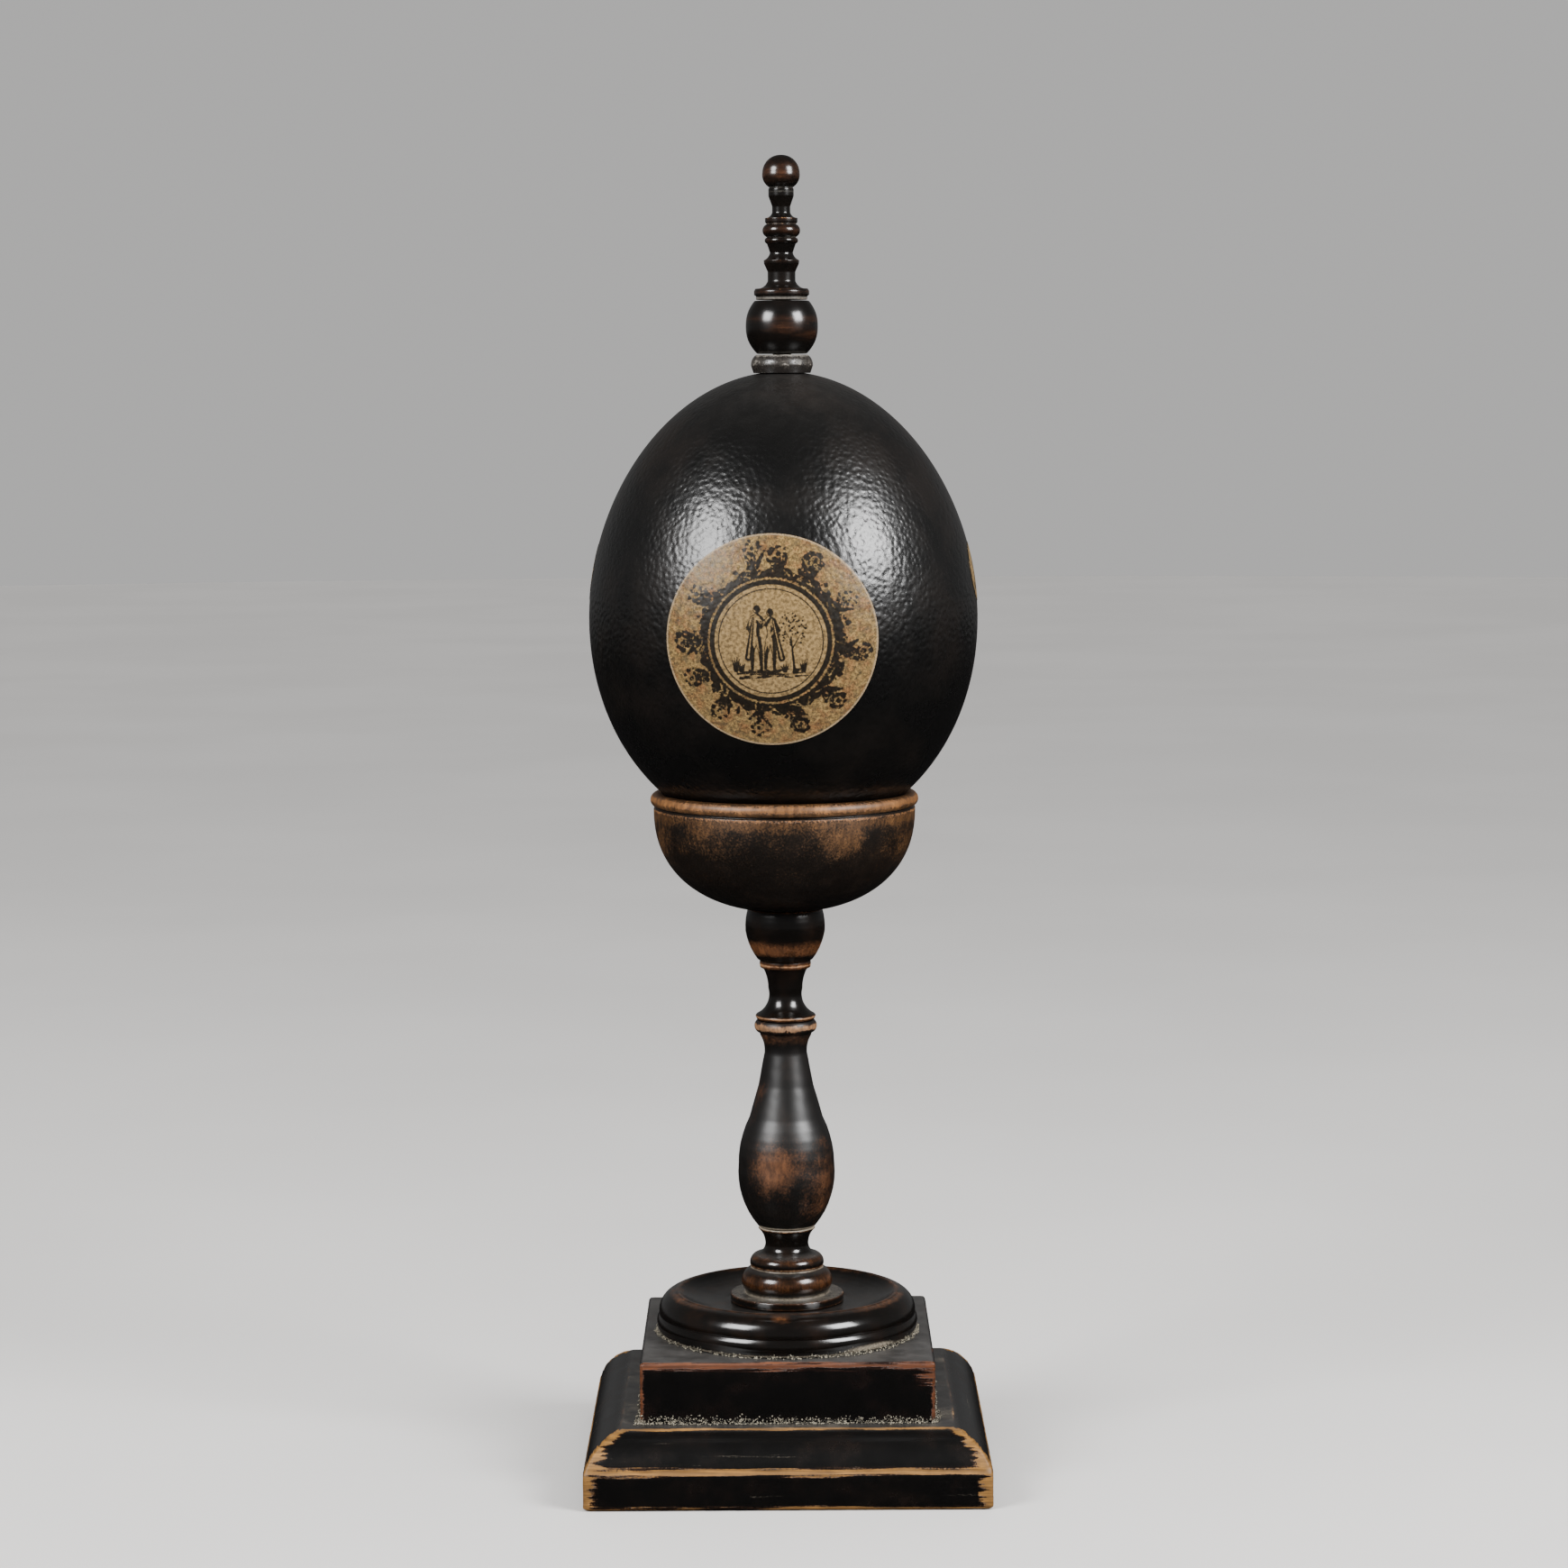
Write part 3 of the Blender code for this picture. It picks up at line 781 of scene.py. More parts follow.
class EGGSTAND_OT_turned_stand(bpy.types.Operator):
    """Turn the dished foot and the three pieces of the stem"""
    bl_idname = "eggstand.turned_stand"
    bl_label = "Foot and Stem"

    def execute(self, context):
        settings = context.scene.egg_stand_turned
        self.dished_foot(settings)
        self.stem_foot(settings)
        self.stem_vase(settings)
        self.stem_knop(settings)
        return {"FINISHED"}

    def dished_foot(self, settings):
        material = turned_finish("dish_lacquer", settings, gloss=0.17, ragged=0.9, film=0.05)
        base = UPPER_TOP_Z + GAP
        crest = DISH_RADIUS - 6.9
        points = outline(
            *socket_above(FOOT_TENON, DISH_FLOOR_Z), (FOOT_DISC_RADIUS + 0.6, DISH_FLOOR_Z),
            (crest - 1.0, DISH_CREST_Z - 0.3, -1.5), (crest + 0.6, DISH_CREST_Z - 0.2, 0.3),
            (DISH_RADIUS - 0.6, base + 6.1, 1.8), (DISH_RADIUS - 0.75, base + 5.7),
            (DISH_RADIUS, base + 2.0, 0.45), (DISH_RADIUS - 0.6, base, 0.2), (0, base))
        turn_piece(
            "dished_foot_lacquered", "dished_foot", "turned_wood", points, material, settings.segments + 64,
            groove=0.2,
            brown=[(DISH_CREST_Z, 0.45, 0.36), (DISH_CREST_Z - 0.4, 0.7, 0.50, 60, 24),
                   (DISH_CREST_Z - 0.9, 1.3, 0.55, -3, 4), (DISH_CREST_Z - 0.4, 0.7, 0.46, -70, 22),
                   (DISH_CREST_Z - 0.3, 0.6, 0.44, 170, 40)],
            dusty=[(base, 0.8, 0.7), (base + 0.9, 1.5, 0.85, 40, 11)])

    def stem_foot(self, settings):
        material = turned_finish("stem_foot_lacquer", settings, gloss=0.16, matt=0.45, ragged=0.7,
                                 film=0.12, steepness=0.6)
        disc = DISH_FLOOR_Z + GAP
        points = outline(
            *socket_above(VASE_TENON, FOOT_TOP_Z), (9.0, FOOT_TOP_Z), (9.6, FOOT_TOP_Z - 0.6, 0.15),
            (7.3, 74.0, -0.6), (10.9, 70.4, -1.0), (12.4, 66.7, 0.7), (12.0, 66.2), (12.7, 65.7),
            (15.3, 62.2, 0.5), (14.2, 58.3, 0.5), (14.2, disc + 2.7), (18.6, disc + 2.6),
            (FOOT_DISC_RADIUS, disc + 2.0, 0.2), (FOOT_DISC_RADIUS, disc),
            *tenon_below(FOOT_TENON, disc))
        turn_piece(
            "stem_foot_lacquered", "stem_foot", "turned_wood", points, material, settings.segments,
            arris=0.42, groove=0.45,
            brown=[(62.0, 3.4, 0.46), (69.5, 1.6, 0.4), (66.4, 0.5, 0.6)],
            worn=[(66.9, 0.25, 0.6)],
            dusty=[(FOOT_TOP_Z, 0.4, 0.9), (disc + 2.9, 0.5, 0.4)], spacing=0.6)

    def stem_vase(self, settings):
        material = turned_finish("stem_vase_lacquer", settings, gloss=0.41, streaks=(210, 210, 170),
                                 ragged=1.0, fleck=1.0, grain=(700, 700, 300), relief=0.00025)
        seam = FOOT_TOP_Z + GAP
        points = outline(
            *socket_above(KNOP_LOW_TENON, RING_TOP_Z), (9.6, RING_TOP_Z), (9.7, RING_TOP_Z - 3.9, 0.95),
            (8.8, 146.3), (8.6, 145.5), (7.1, 139.6, -0.45), (12.4, 117.4, -0.45),
            (VASE_RADIUS, 101.4, 1.0), (9.9, seam + 0.3, 2.2), (9.5, seam),
            *tenon_below(VASE_TENON, seam))
        turn_piece(
            "stem_vase_lacquered", "stem_vase", "turned_wood", points, material, settings.segments,
            arris=0.35, groove=0.35,
            brown=[(101.5, 9.0, 0.86, -16, 8.5), (96.0, 15.0, 0.55, 50, 9.0), (104.0, 9.0, 0.42, 12, 8.0),
                   (100.0, 12.0, 0.66, 150, 14.0), (145.0, 2.5, 0.42), (125.0, 10.0, 0.36, -70, 5.0)],
            worn=[(RING_TOP_Z - 1.9, 1.3, 0.80), (103.0, 5.0, 0.20, -16, 6.0)],
            dusty=[(seam, 0.55, 0.95)], spacing=0.8, sway=0.09)

    def stem_knop(self, settings):
        material = turned_finish("stem_knop_lacquer", settings, matt=0.48, streaks=(160, 160, 420),
                                 ragged=0.75, fleck=0.6)
        seam = RING_TOP_Z + GAP
        points = outline(
            *tenon_above(KNOP_TOP_TENON, KNOP_TOP_Z), (12.5, KNOP_TOP_Z), (KNOP_RADIUS, 181.0, 0.35),
            (9.4, 171.5, 0.6), (8.5, 170.9), (8.4, 168.6, 0.2), (7.3, 168.0), (5.8, 161.4, -0.4),
            (9.6, 152.8, -1.7), (10.2, 152.0, 0.1), (9.7, seam), *tenon_below(KNOP_LOW_TENON, seam))
        turn_piece(
            "stem_knop_lacquered", "stem_knop", "turned_wood", points, material, settings.segments,
            arris=0.45, groove=0.2,
            brown=[(175.4, 2.8, 0.74), (169.5, 1.2, 0.7), (151.8, 0.8, 0.7)],
            worn=[(169.6, 0.50, 0.64), (175.4, 1.8, 0.16), (152.0, 0.4, 0.74)],
            # A dark line just under the bulge, above the fillet.
            kept=[(172.3, 0.7, 0.8)], spacing=0.6)


# ---------------------------------------------------------------- egg cup

class EGGSTAND_OT_egg_cup(bpy.types.Operator):
    """Turn the bowl that holds the egg"""
    bl_idname = "eggstand.egg_cup"
    bl_label = "Egg Cup"

    def execute(self, context):
        settings = context.scene.egg_stand_cup
        material = lacquered_wood(
            "cup_finish", settings.lacquer, settings.rubbed, settings.bare_wood,
            context.scene.egg_stand_turned.dust, gloss=0.40, streaks=(110, 110, 140), ragged=0.85,
            fleck=1.7, grain=(600, 600, 250))
        underside = KNOP_TOP_Z + GAP
        inside = [egg_point(math.radians(-90 + 2.5 * step), GAP + 0.05) for step in range(16)]
        rim = outline(
            inside[-1], (42.4, CUP_RIM_Z), (CUP_RIM_RADIUS, CUP_RIM_Z - 1.9, 0.6),
            (CUP_RIM_RADIUS - 0.7, CUP_RIM_Z - 4.1, 0.3), (CUP_RIM_RADIUS - 1.6, CUP_RIM_Z - 4.5),
            (CUP_RIM_RADIUS - 1.6, CUP_RIM_Z - 4.8))
        socket = socket_below(KNOP_TOP_TENON, underside)
        points = inside[:-1] + rim + bowl_curve(14.5, 40)[:-1] + [(14.0, underside), *socket]
        turn_piece(
            "egg_cup_worn", "egg_cup", "cup_wood", points, material,
            context.scene.egg_stand_turned.segments + 64,
            brown=[(CUP_RIM_Z - 2.4, 3.2, 0.85), (221.5, 4.0, 0.62), (215.0, 7.0, 0.34), (204.0, 9.0, 0.14),
                   (216.5, 6.0, 0.84, 26, 10.0), (219.0, 4.5, 0.72, -40, 9.0), (212.0, 8.0, 0.52, 72, 10.0),
                   (213.0, 8.0, 0.5, -75, 12.0), (215.0, 7.0, 0.65, 150, 14.0),
                   (216.0, 6.0, 0.65, -130, 14.0)],
            worn=[(CUP_RIM_Z - 1.7, 1.3, 0.95), (CUP_BODY_TOP_Z - 0.4, 0.5, 0.66),
                  (217.5, 4.0, 0.36, 24, 7.0), (220.0, 2.6, 0.34, -40, 7.0)],
            # The first mark paints shade in the groove under the rim as black lacquer; the others keep
            # patches of black lacquer.
            kept=[(CUP_RIM_Z - 4.65, 0.42, 1.0), (213.0, 5.5, 0.55, -12, 5.0), (216.0, 4.5, 0.7, 4, 6.0),
                  (214.0, 4.0, 0.7, 44, 5.0), (217.0, 4.0, 0.5, -52, 5.0)],
            spacing=0.7, sway=0.03)
        return {"FINISHED"}


# ---------------------------------------------------------------- egg

def geometry_group(name, inputs, takes=(), makes="Result"):
    """An empty Geometry Nodes tree with named inputs, a material and perhaps a mesh to start from."""
    group = bpy.data.node_groups.new(name, "GeometryNodeTree")
    for label in takes:
        group.interface.new_socket(label, in_out="INPUT", socket_type="NodeSocketGeometry")
    for label, value in inputs.items():
        kind = "NodeSocketInt" if isinstance(value, int) else FLOAT
        group.interface.new_socket(label, in_out="INPUT", socket_type=kind).default_value = value
    group.interface.new_socket("Finish", in_out="INPUT", socket_type="NodeSocketMaterial")
    group.interface.new_socket(makes, in_out="OUTPUT", socket_type="NodeSocketGeometry")
    tree = Tree(group)
    return group, tree, tree.node("NodeGroupInput").outputs


def realise(tree, geometry, finish):
    """Turn a tree's instances into plain geometry with its material, and put it out."""
    real = tree.node("GeometryNodeRealizeInstances", {0: geometry})
    done = tree.node("GeometryNodeSetMaterial", {"Geometry": real.outputs[0], "Material": finish})
    tree.feed(tree.node("NodeGroupOutput").inputs[0], done.outputs[0])


def egg_nodes():
    """Geometry Nodes tree that shapes a ball into an egg by its formula, with a blow hole and dimples."""
    group, tree, given = geometry_group("egg by formula", {
        "Radius": 0.0648, "Half Height": 0.0782, "Centre Height": 0.29, "Taper": 0.05,
        "Hole Radius": 0.0033, "Hole Depth": 0.01, "Pit Depth": 0.0001, "Pit Size": 0.004,
        "Segments": 440, "Rings": 180}, makes="Egg")
    ball = tree.node("GeometryNodeMeshUVSphere",
                     {"Segments": given["Segments"], "Rings": given["Rings"], "Radius": 1.0}).outputs[0]
    at = tree.node("ShaderNodeSeparateXYZ", {0: tree.node("GeometryNodeInputPosition").outputs[0]}).outputs
    slim = tree.times(given["Radius"], tree.minus(1.0, tree.times(given["Taper"], at[2])))
    east = tree.times(at[0], slim)
    north = tree.times(at[1], slim)
    height = tree.plus(given["Centre Height"], tree.times(given["Half Height"], at[2]))
    squares = tree.plus(tree.math("POWER", east, 2.0), tree.math("POWER", north, 2.0))
    narrow = tree.math("LESS_THAN", tree.math("POWER", squares, 0.5), given["Hole Radius"])
    in_hole = tree.times(narrow, tree.math("GREATER_THAN", at[2], 0.0))
    sunk = tree.minus(height, tree.times(in_hole, given["Hole Depth"]))
    place = tree.node("ShaderNodeCombineXYZ", {0: east, 1: north, 2: sunk}).outputs[0]
    dimple = tree.noise(tree.scaled(place, tree.math("DIVIDE", 1.0, given["Pit Size"])), 1.0, 2.0, 0.5)
    sink = tree.times(tree.times(dimple, given["Pit Depth"]), -1.0)
    inward = tree.scaled(tree.node("GeometryNodeInputNormal").outputs[0], sink)
    shaped = tree.node("GeometryNodeSetPosition", {"Geometry": ball, "Position": place})
    dimpled = tree.node("GeometryNodeSetPosition", {"Geometry": shaped.outputs[0], "Offset": inward})
    smooth = tree.node("GeometryNodeSetShadeSmooth", {0: dimpled.outputs[0]})
    realise(tree, smooth.outputs[0], given["Finish"])
    return group


def mesh_from_nodes(name, group, values, start=None):
    """Plain mesh that a Geometry Nodes tree makes with the given input values."""
    holder = bpy.data.objects.new(name, start or bpy.data.meshes.new(name))
    bpy.context.scene.collection.objects.link(holder)
    modifier = holder.modifiers.new("nodes", "NODES")
    modifier.node_group = group
    for item in group.interface.items_tree:
        if item.in_out == "INPUT" and item.name in values:
            modifier[item.identifier] = values[item.name]
    graph = bpy.context.evaluated_depsgraph_get()
    mesh = bpy.data.meshes.new_from_object(holder.evaluated_get(graph))
    bpy.data.objects.remove(holder)
    mesh.name = name
    return mesh


def shell_finish(settings):
    """Black satin lacquer over the dimpled shell."""
    material, tree, shader, place = new_material("egg_lacquer")
    shell = tree.group(pitted_shell_group(), {"Vector": place})
    warm = tree.smooth(shell["Cloud"], 0.42, 0.72, 0.0, 0.9)
    colour = tree.mix(warm, rgba(settings.lacquer), rgba(settings.warm))
    colour = tree.mix(tree.times(shell["Pores"], 0.6), colour, (0.002, 0.002, 0.002, 1.0))
    roughness = tree.smooth(shell["Cloud"], 0.3, 0.7, 0.25, 0.33)
    # Greyer on the upper shell: dust, and a painted grey sheen.
    film = {"Dust_and_Sheen": (0.055, 0.050, 0.045, 1.0), "Amount": 0.14, "Steepness": 0.55}
    colour, roughness = under_dust_and_sheen(tree, place, colour, roughness, film)
    paint(tree, shader, colour, roughness, shell["Height"], 0.00019)
    return material


class EGGSTAND_OT_egg(bpy.types.Operator):
    """Shape the lacquered ostrich egg"""
    bl_idname = "eggstand.egg"
    bl_label = "Egg"

    def execute(self, context):
        settings = context.scene.egg_stand_shell
        values = {
            "Radius": EGG_RADIUS * MM, "Half Height": EGG_HALF_HEIGHT * MM,
            "Centre Height": EGG_CENTRE_Z * MM, "Taper": EGG_TAPER,
            "Hole Radius": (COLLAR_PEG[0] + GAP) * MM, "Hole Depth": (COLLAR_PEG[1] + GAP) * MM,
            "Pit Depth": settings.pit_depth, "Pit Size": settings.pit_size,
            "Finish": shell_finish(settings)}
        mesh = mesh_from_nodes("ostrich_egg_lacquered", egg_nodes(), values)
        add_piece("ostrich_egg_lacquered", mesh, "ostrich_egg")
        return {"FINISHED"}


# ---------------------------------------------------------------- printed roundels

def stroke(x, y, start, end, thick, thin=None):
    """Signed distance from a rounded stroke that tapers from start to end, or from a disc."""
    thin = thick if thin is None else thin
    run = (end[0] - start[0], end[1] - start[1])
    length = run[0] ** 2 + run[1] ** 2
    share = 0.0
    if length > 0:
        share = np.clip(((x - start[0]) * run[0] + (y - start[1]) * run[1]) / length, 0, 1)
    away = np.hypot(x - start[0] - share * run[0], y - start[1] - share * run[1])
    return away - (thick + share * (thin - thick))


def disc(x, y, centre, radius):
    return stroke(x, y, centre, centre, radius)


def ring_ink(rho, inner, outer):
    return np.maximum(inner - rho, rho - outer)


# Limbs of a standing figure, in shares of its height: start and end (across, up), and how thick each is
LIMBS = (
    ((0.00, 0.80), (0.00, 0.62), 0.072, 0.050), ((0.00, 0.62), (0.00, 0.50), 0.050, 0.064),
    ((0.00, 0.87), (0.00, 0.80), 0.024, 0.034),
    ((-0.03, 0.49), (-0.05, 0.27), 0.048, 0.030), ((-0.05, 0.27), (-0.04, 0.02), 0.030, 0.016),
    ((-0.04, 0.01), (-0.09, 0.00), 0.016, 0.010),
    ((0.03, 0.49), (0.08, 0.28), 0.048, 0.030), ((0.08, 0.28), (0.10, 0.03), 0.030, 0.016),
    ((0.10, 0.01), (0.05, 0.00), 0.016, 0.010),
    ((-0.06, 0.81), (-0.13, 0.65), 0.028, 0.022), ((-0.13, 0.65), (-0.05, 0.56), 0.022, 0.014),
    ((0.06, 0.81), (0.15, 0.70), 0.028, 0.022), ((0.15, 0.70), (0.21, 0.79), 0.022, 0.014))
GROUND = -9.4                      # where the figures stand, in mm below the middle of the picture


def body_distance(x, y, foot_x, lean, tall):
    """Signed distance from a plain standing figure; a negative height turns it to face the other way."""
    size = abs(tall)
    across = (x - foot_x) / tall - lean * (y - GROUND) / size
    up = (y - GROUND) / size
    body = disc(across, up, (0.0, 0.93), 0.052)
    for start, end, thick, thin in LIMBS:
        body = np.minimum(body, stroke(across, up, start, end, thick, thin))
    return body * size


def figure_ink(x, y, foot_x, lean, tall, cloak):
    """Plain standing figure with no face, shaded on one side, with dark hair and a fold of cloth."""
    body = body_distance(x, y, foot_x, lean, tall)
    lit = body_distance(x + 1.05, y - 0.15, foot_x, lean, tall)
    ink = np.minimum(np.maximum(body, -lit), np.abs(body) - 0.13)
    size = abs(tall)
    top = foot_x + lean * tall * 0.95
    ink = np.minimum(ink, disc(x, y, (top, GROUND + size * 0.955), size * 0.046))
    shoulder = (foot_x + lean * tall * 0.8 - 0.05 * tall, GROUND + size * 0.80)
    hem = (foot_x - cloak * tall, GROUND + size * 0.20)
    fold = stroke(x, y, shoulder, hem, size * 0.020, size * 0.055)
    ink = np.minimum(ink, fold)
    return np.maximum(ink, -stroke(x, y, shoulder, hem, size * 0.004, size * 0.016))


# Trunk and boughs of the tree: start, end, and how thick each end is
BOUGHS = (((7.6, -8.8), (6.6, 1.5), 0.42, 0.20), ((6.9, -2.5), (9.8, 2.6), 0.22, 0.10),
          ((6.8, -0.5), (4.6, 3.6), 0.20, 0.10))


def picture_ink(x, y, rho, draw):
    """Two figures, a tree and some ground inside a double ring."""
    ink = figure_ink(x, y, -5.0, 0.03, 21.0, cloak=0.10)
    ink = np.minimum(ink, figure_ink(x, y, 0.4, 0.03, -20.0, cloak=0.16))
    for bough in BOUGHS:
        ink = np.minimum(ink, stroke(x, y, *bough))
    for _ in range(80):
        angle = draw.uniform(0, 2 * math.pi)
        reach = 4.6 * math.sqrt(draw.uniform(0, 1))
        leaf = (7.2 + reach * math.cos(angle), 4.0 + 1.2 * reach * math.sin(angle))
        ink = np.minimum(ink, disc(x, y, leaf, draw.uniform(0.12, 0.42)))
    for _ in range(52):
        left = draw.uniform(-11.5, 8.0)
        level = GROUND - 2.6 * draw.uniform(0, 1) ** 1.5 + 0.05 * left
        right = left + draw.uniform(1.4, 4.6)
        ink = np.minimum(ink, stroke(x, y, (left, level), (right, level + draw.uniform(-0.3, 0.6)),
                                     draw.uniform(0.14, 0.46), 0.06))
    for tuft, tall in ((-11.2, 4.6), (-9.4, 2.8), (10.6, 4.0), (4.6, 2.4)):
        for lean in (-1.3, -0.5, 0.4, 1.2):
            tip = (tuft + lean, GROUND + tall * draw.uniform(0.6, 1.0))
            ink = np.minimum(ink, stroke(x, y, (tuft + lean * 0.2, GROUND - 0.2), tip, 0.50, 0.10))
    ink = np.minimum(ink, np.abs(rho - 16.9) - 0.20)
    return np.minimum(ink, ring_ink(rho, 18.3, 19.9))


def sprig_ink(x, y, clock, reach, bold, draw):
    """Flower on a stalk that grows out of the wreath, with leaves and light cuts between the petals."""
    angle = math.radians(90 - clock)
    out = x * math.cos(angle) + y * math.sin(angle)
    side = -x * math.sin(angle) + y * math.cos(angle)
    sway = draw.uniform(-1.0, 1.0)
    head = (reach - 3.7, sway)
    ink = stroke(out, side, (24.0, 0.0), head, 1.3 * bold, 0.8 * bold)
    for petal in range(7):
        turn = math.radians(petal * 360 / 7 + draw.uniform(-14, 14))
        spread = draw.uniform(1.7, 2.5)
        centre = (head[0] + spread * math.cos(turn), head[1] + spread * 1.15 * math.sin(turn))
        ink = np.minimum(ink, disc(out, side, centre, draw.uniform(0.75, 1.3) * bold))
    for turn in (-1, 1):
        root = (24.6, 0.8 * turn)
        tip = (reach - draw.uniform(4.5, 6.5), turn * draw.uniform(2.6, 4.2) + sway)
        ink = np.minimum(ink, stroke(out, side, root, tip, 1.3 * bold, 0.35))
    ring = np.abs(np.hypot(out - head[0], side - head[1]) - 1.35) - 0.22
    ink = np.maximum(ink, -ring)
    for _ in range(16):
        cut = (draw.uniform(24.5, reach - 0.4), sway + draw.uniform(-3.0, 3.0))
        turn = (cut[0] + draw.uniform(-1.3, 1.3), cut[1] + draw.uniform(-1.1, 1.1))
        ink = np.maximum(ink, -stroke(out, side, cut, turn, draw.uniform(0.10, 0.30), 0.06))
    return ink


# Sprigs round the wreath: clockwise angle from the top in degrees, outer reach in mm, boldness
SPRIGS = ((-13, 35.0, 0.80), (6, 32.6, 1.0), (30, 33.8, 1.0), (64, 33.2, 0.62), (98, 34.6, 1.0),
          (133, 33.8, 1.05), (161, 33.6, 1.1), (190, 33.6, 0.62), (217, 33.2, 0.75), (243, 33.6, 0.80),
          (269, 33.4, 1.05), (301, 33.0, 0.80))


def by_clock(turn, reach):
    """Place at an angle clockwise from the top."""
    return reach * math.sin(turn), reach * math.cos(turn)


def wreath_ink(x, y, rho, draw):
    """The picture in a wreath of leaves, with sprigs round it."""
    ink = picture_ink(x, y, rho, draw)
    angle = np.degrees(np.arctan2(x, y))
    waves = 0.5 * np.sin(np.radians(angle * 13)) + 0.35 * np.sin(np.radians(angle * 29 + 40))
    heavy = 0.9 * np.exp(-(((angle - 60 + 180) % 360 - 180) / 60) ** 2)
    heavy = heavy + 0.6 * np.exp(-(((angle - 170 + 180) % 360 - 180) / 45) ** 2)
    band = ring_ink(rho, 20.6, 23.4 + waves + heavy)
    for _ in range(64):
        turn = math.radians(draw.uniform(0, 360))
        spot = by_clock(turn, draw.uniform(23.0, 26.0))
        band = np.minimum(band, disc(x, y, spot, draw.uniform(0.35, 1.2)))
    for _ in range(60):
        turn = math.radians(draw.uniform(0, 360))
        reach = draw.uniform(21.2, 24.2)
        start = by_clock(turn, reach)
        bend = turn + math.radians(draw.uniform(-9, 9))
        end = by_clock(bend, reach + draw.uniform(0.4, 2.6))
        band = np.maximum(band, -stroke(x, y, start, end, draw.uniform(0.12, 0.30), 0.06))
    ink = np.minimum(ink, band)
    for clock, reach, bold in SPRIGS:
        ink = np.minimum(ink, sprig_ink(x, y, clock, reach, bold, draw))
    return ink


def onto_egg(spots, toward):
    """Spots in mm moved along a direction until they lie on the egg."""
    near = np.zeros(len(spots))
    far = np.full(len(spots), EGG_RADIUS)
    for _ in range(40):
        middle = (near + far) / 2
        at = spots + toward * middle[:, None]
        rise = np.clip((at[:, 2] - EGG_CENTRE_Z) / EGG_HALF_HEIGHT, -1, 1)
        surface = EGG_RADIUS * np.sqrt(1 - rise ** 2) * (1 - EGG_TAPER * rise)
        outside = np.hypot(at[:, 0], at[:, 1]) > surface
        near = np.where(outside, middle, near)
        far = np.where(outside, far, middle)
    return spots + toward * near[:, None]


def place_on_egg(azimuth, height):
    """Point of the egg at a height, and the ways outward, east and up from it."""
    turn = math.radians(FRONT + azimuth)
    rise = (height - EGG_CENTRE_Z) / EGG_HALF_HEIGHT
    level = math.asin(rise)
    waist, _ = egg_point(level)
    lean = math.atan2(EGG_RADIUS * (math.sin(level) + EGG_TAPER * math.cos(2 * level)),
                      EGG_HALF_HEIGHT * math.cos(level))
    centre = np.array([waist * math.cos(turn), waist * math.sin(turn), height])
    outward = np.array([math.cos(turn) * math.cos(lean), math.sin(turn) * math.cos(lean), math.sin(lean)])
    east = np.array([-math.sin(turn), math.cos(turn), 0.0])
    return centre, outward, east, np.cross(outward, east)


def roundel_mesh(name, radius, azimuth, height, thick, rings, segments, design, design_radius, seed,
                 material):
    """Thin closed skin on the egg, printed with a design, radius and height in mm."""
    centre, outward, east, up = place_on_egg(azimuth, height)
    angles = np.arange(segments) * 2 * math.pi / segments
    top_rho = np.concatenate([[0.0], radius * (np.arange(1, rings + 1) / rings)])
    back_rho = np.linspace(radius, 0.0, 9)
    rows, places, prints, normals = [], [], [], []
    for rho, skin in [(r, 1) for r in top_rho] + [(r, 0) for r in back_rho]:
        count = 1 if rho == 0 else segments
        across = np.stack([rho * np.cos(angles[:count]), rho * np.sin(angles[:count])], axis=1)
        flat = EGG_RADIUS * math.sin(rho / EGG_RADIUS) / max(rho, 1e-9)
        spots = centre + across[:, :1] * flat * east + across[:, 1:] * flat * up
        on_egg = onto_egg(spots + outward * EGG_RADIUS * 0.5, -outward)
        away = on_egg - np.array([0.0, 0.0, EGG_CENTRE_Z])
        away[:, 2] *= (EGG_RADIUS / EGG_HALF_HEIGHT) ** 2
        away /= np.linalg.norm(away, axis=1)[:, None]
        lift = thick if skin else -SKIN_SUNK
        start = sum(len(row) for row in rows)
        rows.append(list(range(start, start + count)))
        places.append(on_egg + away * lift)
        prints.append(across)
        normals.append(away)
    verts = np.concatenate(places) * MM
    across = np.concatenate(prints)
    mesh = add_mesh(name, verts.tolist(), ring_faces(rows), material, sharp=50.0)
    scale = design_radius / radius
    x, y = across[:, 0] * scale, across[:, 1] * scale
    draw = np.random.default_rng(seed)
    ink = design(x, y, np.hypot(x, y), draw)
    store(mesh, "ink", np.clip(ink / scale, -2, 2))
    store(mesh, "rim", radius - np.hypot(across[:, 0], across[:, 1]))
    flat_place = np.concatenate([across, np.zeros((len(across), 1))], axis=1).astype(np.float32)
    layer = mesh.attributes.new("print_place", "FLOAT_VECTOR", "POINT")
    layer.data.foreach_set("vector", flat_place.ravel())
    return mesh


